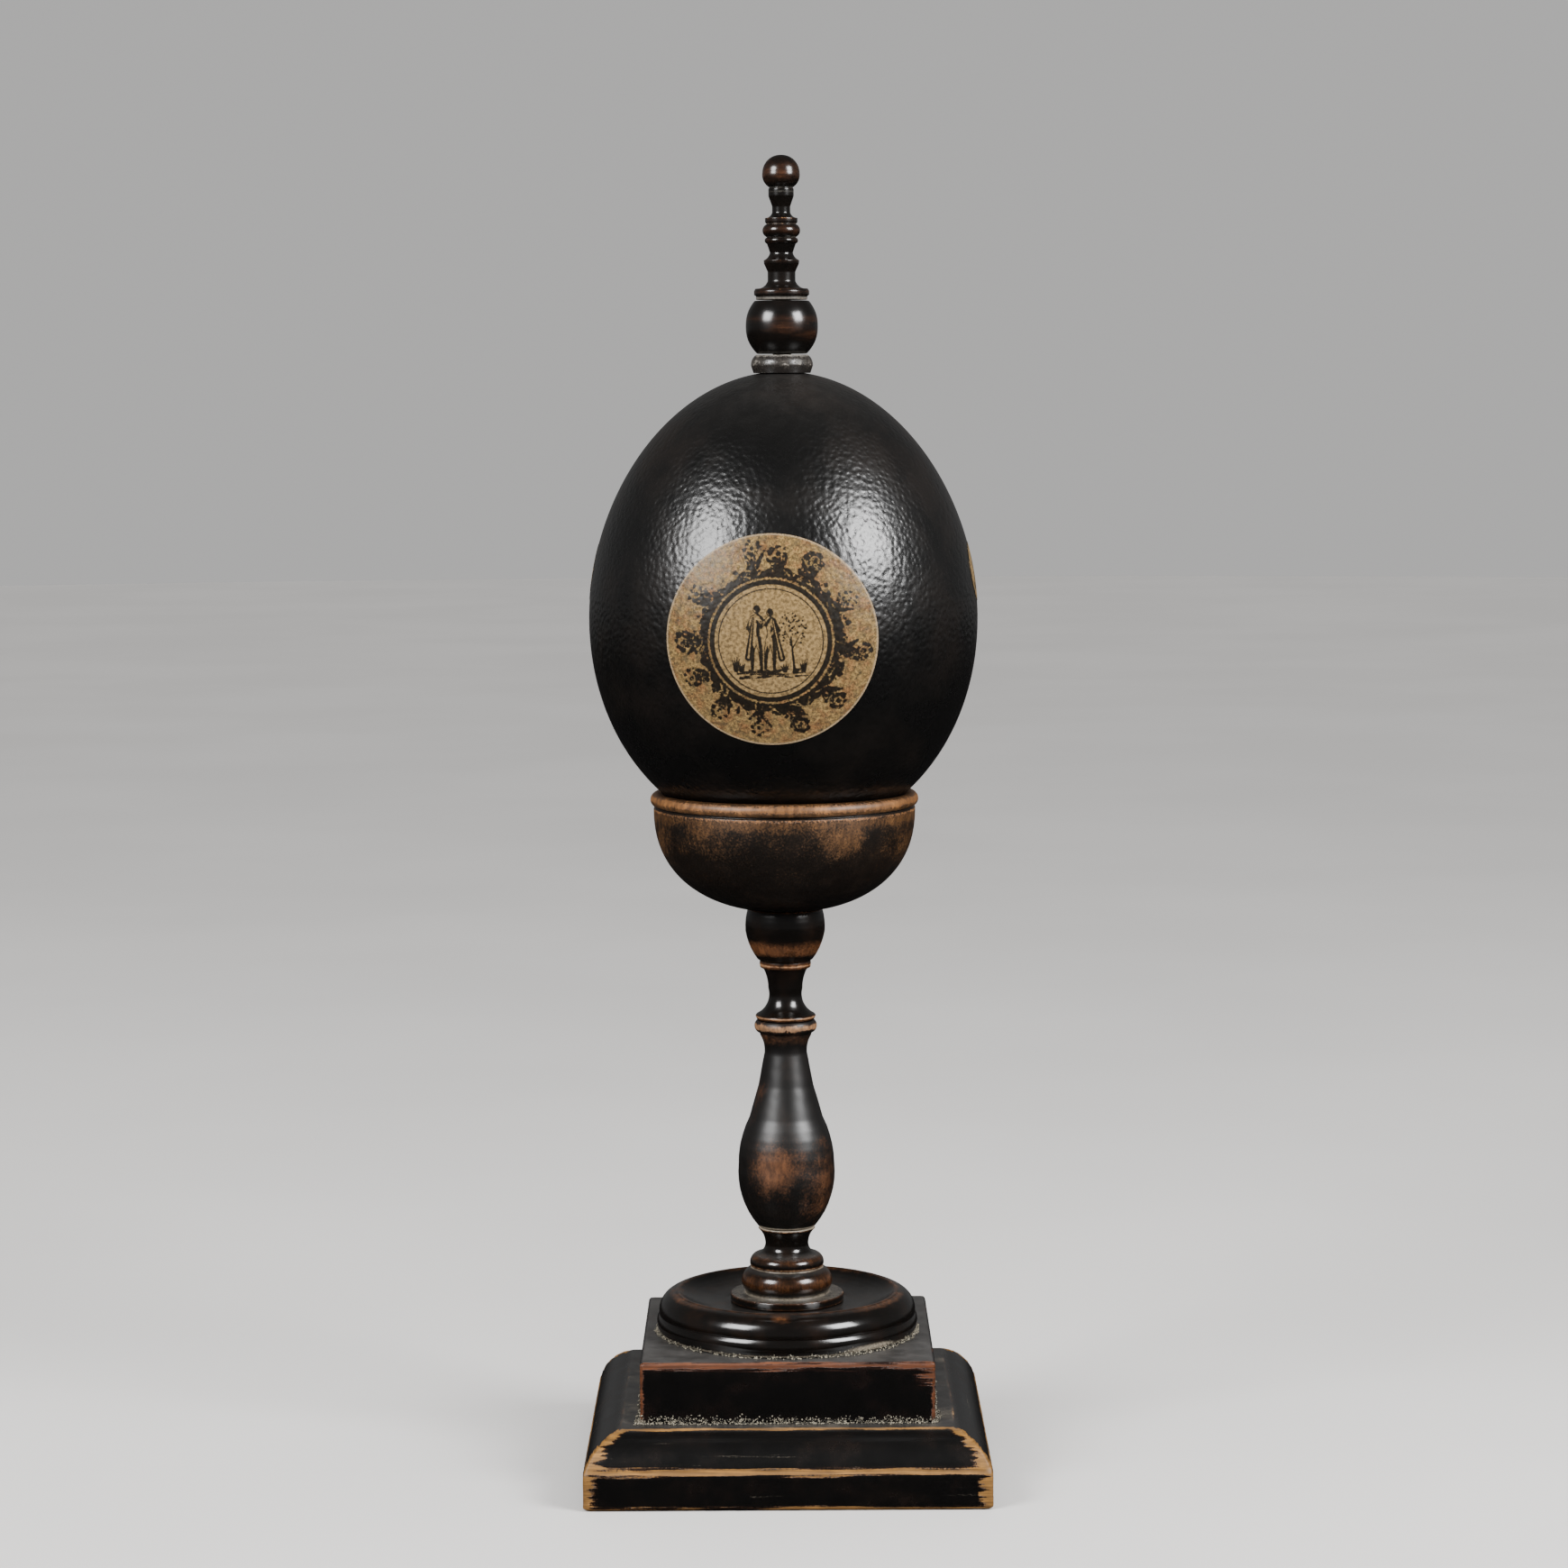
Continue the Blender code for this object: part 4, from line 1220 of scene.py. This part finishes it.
def print_finish(name, settings, picture_radius):
    """Old varnished print: stained ochre ground, fine radial lines and specks, and black ink."""
    material, tree, shader, place = new_material(name)
    shell = tree.group(pitted_shell_group(), {"Vector": place})
    flat = tree.node("ShaderNodeAttribute", attribute_name="print_place").outputs["Vector"]
    rho = tree.node("ShaderNodeVectorMath", {0: flat}, operation="LENGTH").outputs["Value"]
    spoke = tree.scaled(tree.vector("NORMALIZE", flat), 6.0)
    depth = tree.node("ShaderNodeCombineXYZ", {2: tree.times(rho, 0.03)}).outputs[0]
    radial = tree.noise(tree.vector("ADD", spoke, depth), 1.6, 2.0, 0.5)
    ridge = tree.math("ABSOLUTE", tree.minus(radial, 0.5))
    speck = tree.noise(flat, 2.4, 4.0, 0.62)
    stain = tree.noise(flat, 0.22, 5.0, 0.62)
    blot = tree.noise(flat, 0.9, 4.0, 0.6)
    in_picture = tree.smooth(rho, picture_radius - 0.3, picture_radius, 1.0, 0.0)
    in_border = tree.minus(1.0, in_picture)
    ground = tree.mix(tree.smooth(stain, 0.42, 0.66), rgba(settings.ochre), rgba(settings.sienna))
    ground = tree.mix(in_picture, ground, rgba(settings.picture))
    ground = tree.shaded(ground, tree.smooth(blot, 0.32, 0.66, 0.42, 1.28))
    smudge = tree.smooth(tree.noise(flat, 0.40, 6.0, 0.75), 0.47, 0.62, 0.0, 0.72)
    ground = tree.mix(tree.times(smudge, in_border), ground, (0.055, 0.040, 0.020, 1.0))
    ground = tree.mix(tree.smooth(tree.field("rim"), 0.25, 0.85, 0.75, 0.0), ground, rgba(settings.edge))
    lines = tree.times(tree.smooth(ridge, 0.0, 0.022, 1.0, 0.0), in_border)
    lines = tree.times(lines, tree.smooth(blot, 0.47, 0.56, 0.0, 0.75))
    speck_depth = tree.plus(0.22, tree.times(in_border, 0.50))
    specks = tree.times(tree.smooth(speck, 0.53, 0.62), speck_depth)
    frayed = tree.swing(tree.noise(flat, 1.3, 3.0, 0.6), 1.7)
    ragged = tree.plus(tree.swing(speck, 0.7), tree.times(frayed, in_border))
    solid = tree.smooth(tree.plus(tree.field("ink"), ragged), -0.07, 0.09, 1.0, 0.0)
    worn_ink = tree.times(solid, tree.smooth(blot, 0.66, 0.80, 0.96, 0.55))
    dark = tree.math("MAXIMUM", worn_ink, tree.math("MAXIMUM", lines, specks))
    colour = tree.mix(dark, ground, rgba(settings.ink))
    paint(tree, shader, colour, tree.smooth(blot, 0.3, 0.7, 0.36, 0.46), shell["Height"], 0.00013)
    shader.inputs["Specular IOR Level"].default_value = 0.24
    return material


# Roundels: name, how far round from the front in degrees, seed of its design, and whether it has a wreath
ROUNDELS = (("front", -3.7, 7, True), ("back", 176.3, 19, True),
            ("right", 86.0, 3, False), ("left", -93.7, 5, False))


class EGGSTAND_OT_roundels(bpy.types.Operator):
    """Lay the printed roundels on the egg"""
    bl_idname = "eggstand.roundels"
    bl_label = "Roundels"

    def execute(self, context):
        settings = context.scene.egg_stand_roundels
        thick = settings.thick / MM
        wreath = print_finish("wreath_print", settings, WREATH_INSIDE)
        picture = print_finish("picture_print", settings, PICTURE_INSIDE)
        large, small = settings.large / MM, settings.small / MM
        wreaths = dict(radius=large, height=WREATH_LEVEL, rings=128, segments=600, design=wreath_ink,
                       design_radius=WREATH_DESIGN, material=wreath)
        pictures = dict(radius=small, height=PICTURE_LEVEL, rings=64, segments=240, design=picture_ink,
                        design_radius=PICTURE_DESIGN, material=picture)
        for name, azimuth, seed, has_wreath in ROUNDELS:
            kind = wreaths if has_wreath else pictures
            mesh = roundel_mesh(f"{name}_roundel", azimuth=azimuth, thick=thick, seed=seed, **kind)
            add_piece(f"{name}_roundel", mesh)
        return {"FINISHED"}


# ---------------------------------------------------------------- finial

class EGGSTAND_OT_finial(bpy.types.Operator):
    """Turn the collar, ball and spire that stand on the egg"""
    bl_idname = "eggstand.finial"
    bl_label = "Finial"

    def execute(self, context):
        settings = context.scene.egg_stand_turned
        self.collar(settings)
        self.ball(settings)
        self.spire(settings)
        return {"FINISHED"}

    def collar(self, settings):
        material = lacquered_wood(
            "collar_finish", lacquer=(0.012, 0.010, 0.009), rubbed=(0.050, 0.043, 0.036),
            bare=(0.150, 0.135, 0.115), dust=settings.finial_dust,
            gloss=0.26, matt=0.6, ragged=1.2, fleck=1.4)
        base = EGG_CENTRE_Z + EGG_HALF_HEIGHT + GAP
        underside = [egg_point(math.radians(angle), GAP) for angle in (81.2, 82.5, 84.0, 85.5, 87.0)]
        points = outline(
            *socket_above(BALL_TENON, COLLAR_TOP_Z), (8.6, COLLAR_TOP_Z),
            (COLLAR_RADIUS, base + 1.6, 0.5), *underside, *tenon_below(COLLAR_PEG, underside[-1][1]))
        turn_piece(
            "finial_collar_dusty", "finial_collar", "finial_wood", points, material, settings.segments,
            arris=0.3, groove=0.4,
            brown=[(base + 2.6, 2.4, 0.55)],
            worn=[(COLLAR_TOP_Z - 0.3, 0.5, 0.62), (base + 2.4, 1.6, 0.40)],
            dusty=[(COLLAR_TOP_Z, 0.35, 0.6)], spacing=0.5)

    def ball(self, settings):
        material = finial_finish("ball_lacquer", settings, gloss=0.21, matt=0.32, streaks=(70, 70, 500),
                                 ragged=0.7, grain=(60, 60, 700), relief=0.00002)
        base = COLLAR_TOP_Z + GAP
        waist = (BALL_RADIUS, 383.2)
        points = outline(
            *socket_above(SPIRE_TENON, BALL_TOP_Z), *barrel((9.0, BALL_TOP_Z), waist), waist,
            *reversed(barrel((8.2, base), waist)), *tenon_below(BALL_TENON, base))
        turn_piece(
            "finial_ball_lacquered", "finial_ball", "finial_wood", points, material, settings.segments,
            arris=0.1,
            brown=[(385.6, 1.6, 0.46), (383.0, 2.6, 0.60, 12, 10.0), (380.5, 3.2, 0.50, 60, 10.0),
                   (384.0, 2.5, 0.5, 160, 16.0)],
            dusty=[(base, 0.3, 0.35)], spacing=0.6)

    def spire(self, settings):
        material = finial_finish("spire_lacquer", settings, matt=0.30, grain=(200, 200, 900),
                                 relief=0.00001)
        base = BALL_TOP_Z + GAP
        points = outline(
            (0, TOP_Z), (6.15, TOP_Z - 5.7, 1.75), (3.8, 428.8, 0.9), (4.2, 428.4), (4.2, 426.0),
            (3.0, 422.6), (3.0, 420.6), (5.4, 418.8, -0.5), (5.4, 417.4), (4.8, 416.8),
            (5.1, 412.7, 1.3), (4.7, 412.4), (4.8, 410.4, 0.8), (3.8, 407.4), (5.9, 404.9, -0.4),
            (5.8, 403.8), (4.6, 401.2), (4.6, 398.2), (8.7, 395.6, -0.9), (DISC_RADIUS, 394.8),
            (DISC_RADIUS, 393.5), (8.5, 393.1), (8.5, base), *tenon_below(SPIRE_TENON, base))
        turn_piece(
            "finial_spire_lacquered", "finial_spire", "finial_wood", points, material, SPIRE_SEGMENTS,
            arris=0.42, groove=0.3,
            brown=[(433.5, 3.0, 0.75, 0, 4.0), (434.0, 4.0, 0.5), (415.0, 2.0, 0.5), (394.4, 0.6, 0.5)],
            worn=[(416.9, 0.3, 0.45)], dusty=[(392.4, 0.7, 0.55), (427.4, 0.6, 0.32)],
            soft=0.22, spacing=0.4, sway=0.02)


# ---------------------------------------------------------------- residue

def crumb_nodes():
    """Geometry Nodes tree that strews small crumbs over a strip."""
    group, tree, given = geometry_group(
        "crumbs on a strip", {"Density": 5.0e6, "Crumb Size": 0.0003, "Seed": 1}, takes=["Strip"],
        makes="Crumbs")
    attribute = tree.node("GeometryNodeInputNamedAttribute", {"Name": "thickly"}, data_type="FLOAT")
    density = tree.times(given["Density"], attribute.outputs[0])
    spread = tree.node("GeometryNodeDistributePointsOnFaces", {
        "Mesh": given["Strip"], "Density": density, "Seed": given["Seed"]})
    crumb = tree.node("GeometryNodeMeshIcoSphere", {"Radius": given["Crumb Size"], "Subdivisions": 1})
    ranges = (((0.4, 0.4, 0.3), (1.7, 1.5, 1.2)), ((0.0, 0.0, 0.0), (6.28, 6.28, 6.28)))
    size, turn = (
        tree.node("FunctionNodeRandomValue", {0: low, 1: high, "Seed": given["Seed"]},
                  data_type="FLOAT_VECTOR").outputs[0]
        for low, high in ranges)
    strewn = tree.node("GeometryNodeInstanceOnPoints", {
        "Points": spread.outputs["Points"], "Instance": crumb.outputs[0], "Rotation": turn, "Scale": size})
    realise(tree, strewn.outputs[0], given["Finish"])
    return group


def residue_finish(settings):
    material, tree, shader, place = new_material("old_wax_and_dust")
    cloud = tree.noise(place, 1000.0, 2.0, 0.5)
    dark = tuple(value * 0.12 for value in settings.colour)
    colour = tree.mix(tree.smooth(cloud, 0.42, 0.56), rgba(dark), rgba(settings.colour))
    paint(tree, shader, colour, 0.85, tree.noise(place, 4000.0), 0.0001)
    return material


# Rings of a strip along a seam, in shares of its width: (up the wall, out from it, how thickly strewn)
SEAM_RINGS = ((1.9, 0.0, 0.0), (1.2, 0.0, 0.35), (0.6, 0.0, 0.85),
              (0.1, 0.1, 1.0), (0.1, 0.6, 0.75), (0.1, 1.3, 0.0))


def seam_strip(name, spots, level):
    """Strip along a closed seam, from (place, way out, width) spots in mm, strewn in clumps."""
    verts, thickly = [], []
    for up, out, share in SEAM_RINGS:
        for place, way, width in spots:
            spot = Vector((*(place + way * out * width), level + 0.1 + up * width))
            verts.append(tuple(spot * MM))
            thickly.append(share * min(1.0, max(0.05, 0.60 + 1.6 * noise.noise(spot * 0.7))))
    count = len(spots)
    faces = []
    for row in range(len(SEAM_RINGS) - 1):
        for i in range(count):
            j = (i + 1) % count
            faces.append((row * count + i, row * count + j, (row + 1) * count + j, (row + 1) * count + i))
    mesh = bpy.data.meshes.new(name)
    mesh.from_pydata(verts, [], faces)
    store(mesh, "thickly", thickly)
    return mesh


class EGGSTAND_OT_residue(bpy.types.Operator):
    """Strew old wax and dust along the seams at the foot"""
    bl_idname = "eggstand.residue"
    bl_label = "Residue"

    def execute(self, context):
        settings = context.scene.egg_stand_residue
        material = residue_finish(settings)
        group = crumb_nodes()
        for name, strip, seed in (
                ("foot_residue", self.foot_strip(), 11), ("plinth_residue", self.plinth_strip(), 23)):
            values = {"Density": settings.density, "Crumb Size": settings.crumb, "Seed": seed,
                      "Finish": material}
            mesh = mesh_from_nodes(name, group, values, strip)
            if len(mesh.vertices) == 0:
                raise RuntimeError(f"{name} came out empty")
            add_piece(name, mesh)
        return {"FINISHED"}

    def foot_strip(self):
        """Seam round the dished foot, thicker toward the right of the front."""
        spots = []
        for turn in range(360):
            way = heading(math.radians(FRONT + turn))
            away = (turn - 42 + 180) % 360 - 180
            width = 0.8 + 1.0 * math.exp(-(away / 20) ** 2) + 0.5 * noise.noise(Vector((*way, 0.3)) * 9)
            spots.append((way * (DISH_RADIUS - 0.2), way, max(width, 0.25)))
        return seam_strip("foot_strip", spots, UPPER_TOP_Z)

    def plinth_strip(self):
        """Seam round the upper block on the ledge."""
        wall, _ = square_ring(UPPER_HALF, SEAM_CORNER, side_steps=110, corner_steps=4)
        spots = []
        for spot in wall:
            width = 1.35 + 0.8 * noise.noise(Vector((spot.x, spot.y, 0.0)) * 0.13)
            spots.append((spot, spot / UPPER_HALF, max(width, 0.4)))
        return seam_strip("plinth_strip", spots, LEDGE_Z)


# ---------------------------------------------------------------- stage

class EGGSTAND_OT_stage(bpy.types.Operator):
    """Set up the floor, the two softboxes, the surroundings and the camera"""
    bl_idname = "eggstand.stage"
    bl_label = "Stage"

    def execute(self, context):
        settings = context.scene.egg_stand_stage
        self.floor(settings)
        self.softbox("right_softbox", Vector((0.75, -0.50, 0.47)), settings.right_power)
        self.softbox("left_softbox", Vector((-0.67, -0.57, 0.47)), settings.left_power)
        self.fill("overhead", strength=1.9, tilt=12, turn=30)
        self.fill("fill_from_behind", strength=1.5, tilt=-62, turn=0)
        self.surroundings(context.scene)
        self.camera(context.scene, settings)
        return {"FINISHED"}

    def floor(self, settings):
        steps = 128
        turns = [2 * math.pi * step / steps for step in range(steps)]
        ring = [(settings.floor * math.cos(turn), settings.floor * math.sin(turn), FLOOR_LEVEL)
                for turn in turns]
        material, tree, shader, place = new_material("plain_floor")
        tone = tree.smooth(tree.noise(place, 3.0, 3.0), 0.3, 0.7, 0.97, 1.03)
        tree.feed(shader.inputs["Base Color"], tree.shaded(rgba(settings.floor_colour), tone))
        shader.inputs["Roughness"].default_value = 0.85
        mesh = bpy.data.meshes.new("floor")
        mesh.from_pydata(ring, [], [tuple(range(steps))])
        mesh.materials.append(material)
        floor = bpy.data.objects.new("floor", mesh)
        bpy.context.scene.collection.objects.link(floor)
        floor.visible_glossy = False

    def lamp(self, name, kind, power):
        light = bpy.data.lights.new(name, kind)
        light.energy = power
        lamp = bpy.data.objects.new(name, light)
        bpy.context.scene.collection.objects.link(lamp)
        return lamp

    def softbox(self, name, way, power):
        """Square soft light, aimed at the middle of the egg."""
        lamp = self.lamp(name, "AREA", power)
        lamp.data.shape = "SQUARE"
        lamp.data.size = SOFTBOX_SIDE
        low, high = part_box("ostrich_egg")
        target = (low + high) / 2
        lamp.location = target + way.normalized() * SOFTBOX_AWAY
        lamp.rotation_euler = (target - lamp.location).to_track_quat("-Z", "Y").to_euler()
        lamp.visible_camera = False

    def fill(self, name, strength, tilt, turn):
        """Wide even light, tilted from straight above, that shows in no reflection."""
        lamp = self.lamp(name, "SUN", strength)
        lamp.data.angle = math.radians(70)
        lamp.rotation_euler = (math.radians(tilt), 0.0, math.radians(turn))
        lamp.visible_glossy = False

    def surroundings(self, scene):
        """Soft grey surroundings, paler where the camera sees them and darker below the horizon."""
        world = bpy.data.worlds.new("studio")
        world.use_nodes = True
        tree = Tree(world.node_tree)
        way = tree.node("ShaderNodeTexCoord").outputs["Generated"]
        rise = tree.node("ShaderNodeSeparateXYZ", {0: way}).outputs[2]
        upper = tree.smooth(rise, 0.0, 0.9)
        lower = tree.smooth(rise, -0.12, 0.0)
        sky = tree.mix(upper, (0.15, 0.15, 0.15, 1.0), (0.075, 0.075, 0.075, 1.0))
        around = tree.mix(lower, (0.016, 0.015, 0.015, 1.0), sky)
        seen = tree.node("ShaderNodeLightPath").outputs["Is Camera Ray"]
        around = tree.mix(seen, around, (0.505, 0.50, 0.495, 1.0))
        tree.feed(world.node_tree.nodes["Background"].inputs["Color"], around)
        scene.world = world

    def camera(self, scene, settings):
        camera = bpy.data.cameras.new("camera")
        camera.lens = settings.lens
        camera.sensor_width = SENSOR_WIDTH
        camera.dof.use_dof = False
        holder = bpy.data.objects.new("camera", camera)
        turn = Matrix.Rotation(math.pi / 2 - settings.tilt, 4, "X") @ Matrix.Rotation(settings.roll, 4, "Z")
        holder.matrix_world = Matrix.Translation((-0.0001, -settings.distance, settings.height)) @ turn
        scene.collection.objects.link(holder)
        scene.camera = holder


# ---------------------------------------------------------------- sidebar and main

SETTINGS = {
    "egg_stand_plinth": EggStandPlinthSettings,
    "egg_stand_turned": EggStandTurnedSettings,
    "egg_stand_cup": EggStandCupSettings,
    "egg_stand_shell": EggStandShellSettings,
    "egg_stand_roundels": EggStandRoundelSettings,
    "egg_stand_residue": EggStandResidueSettings,
    "egg_stand_stage": EggStandStageSettings,
}

OPERATORS = (EGGSTAND_OT_stage, EGGSTAND_OT_plinth, EGGSTAND_OT_turned_stand, EGGSTAND_OT_egg_cup,
             EGGSTAND_OT_egg, EGGSTAND_OT_roundels, EGGSTAND_OT_finial, EGGSTAND_OT_residue)


class EGGSTAND_PT_panel(bpy.types.Panel):
    """Lists the pieces of the egg on its stand"""
    bl_idname = "EGGSTAND_PT_panel"
    bl_label = "Egg on a Stand"
    bl_space_type = "VIEW_3D"
    bl_region_type = "UI"
    bl_category = "Egg Stand"

    def draw(self, context):
        for operator in OPERATORS:
            self.layout.operator(operator.bl_idname)
        for name, group in SETTINGS.items():
            box = self.layout.box()
            for setting in group.__annotations__:
                box.prop(getattr(context.scene, name), setting)


def register():
    for name, group in SETTINGS.items():
        bpy.utils.register_class(group)
        setattr(bpy.types.Scene, name, bpy.props.PointerProperty(type=group))
    for item in (*OPERATORS, EGGSTAND_PT_panel):
        bpy.utils.register_class(item)


def unregister():
    for item in reversed((*OPERATORS, EGGSTAND_PT_panel)):
        bpy.utils.unregister_class(item)
    for name, group in SETTINGS.items():
        delattr(bpy.types.Scene, name)
        bpy.utils.unregister_class(group)


def main():
    register()
    for operator in OPERATORS:
        getattr(bpy.ops.eggstand, operator.bl_idname.removeprefix("eggstand."))()


if __name__ == "__main__":
    main()
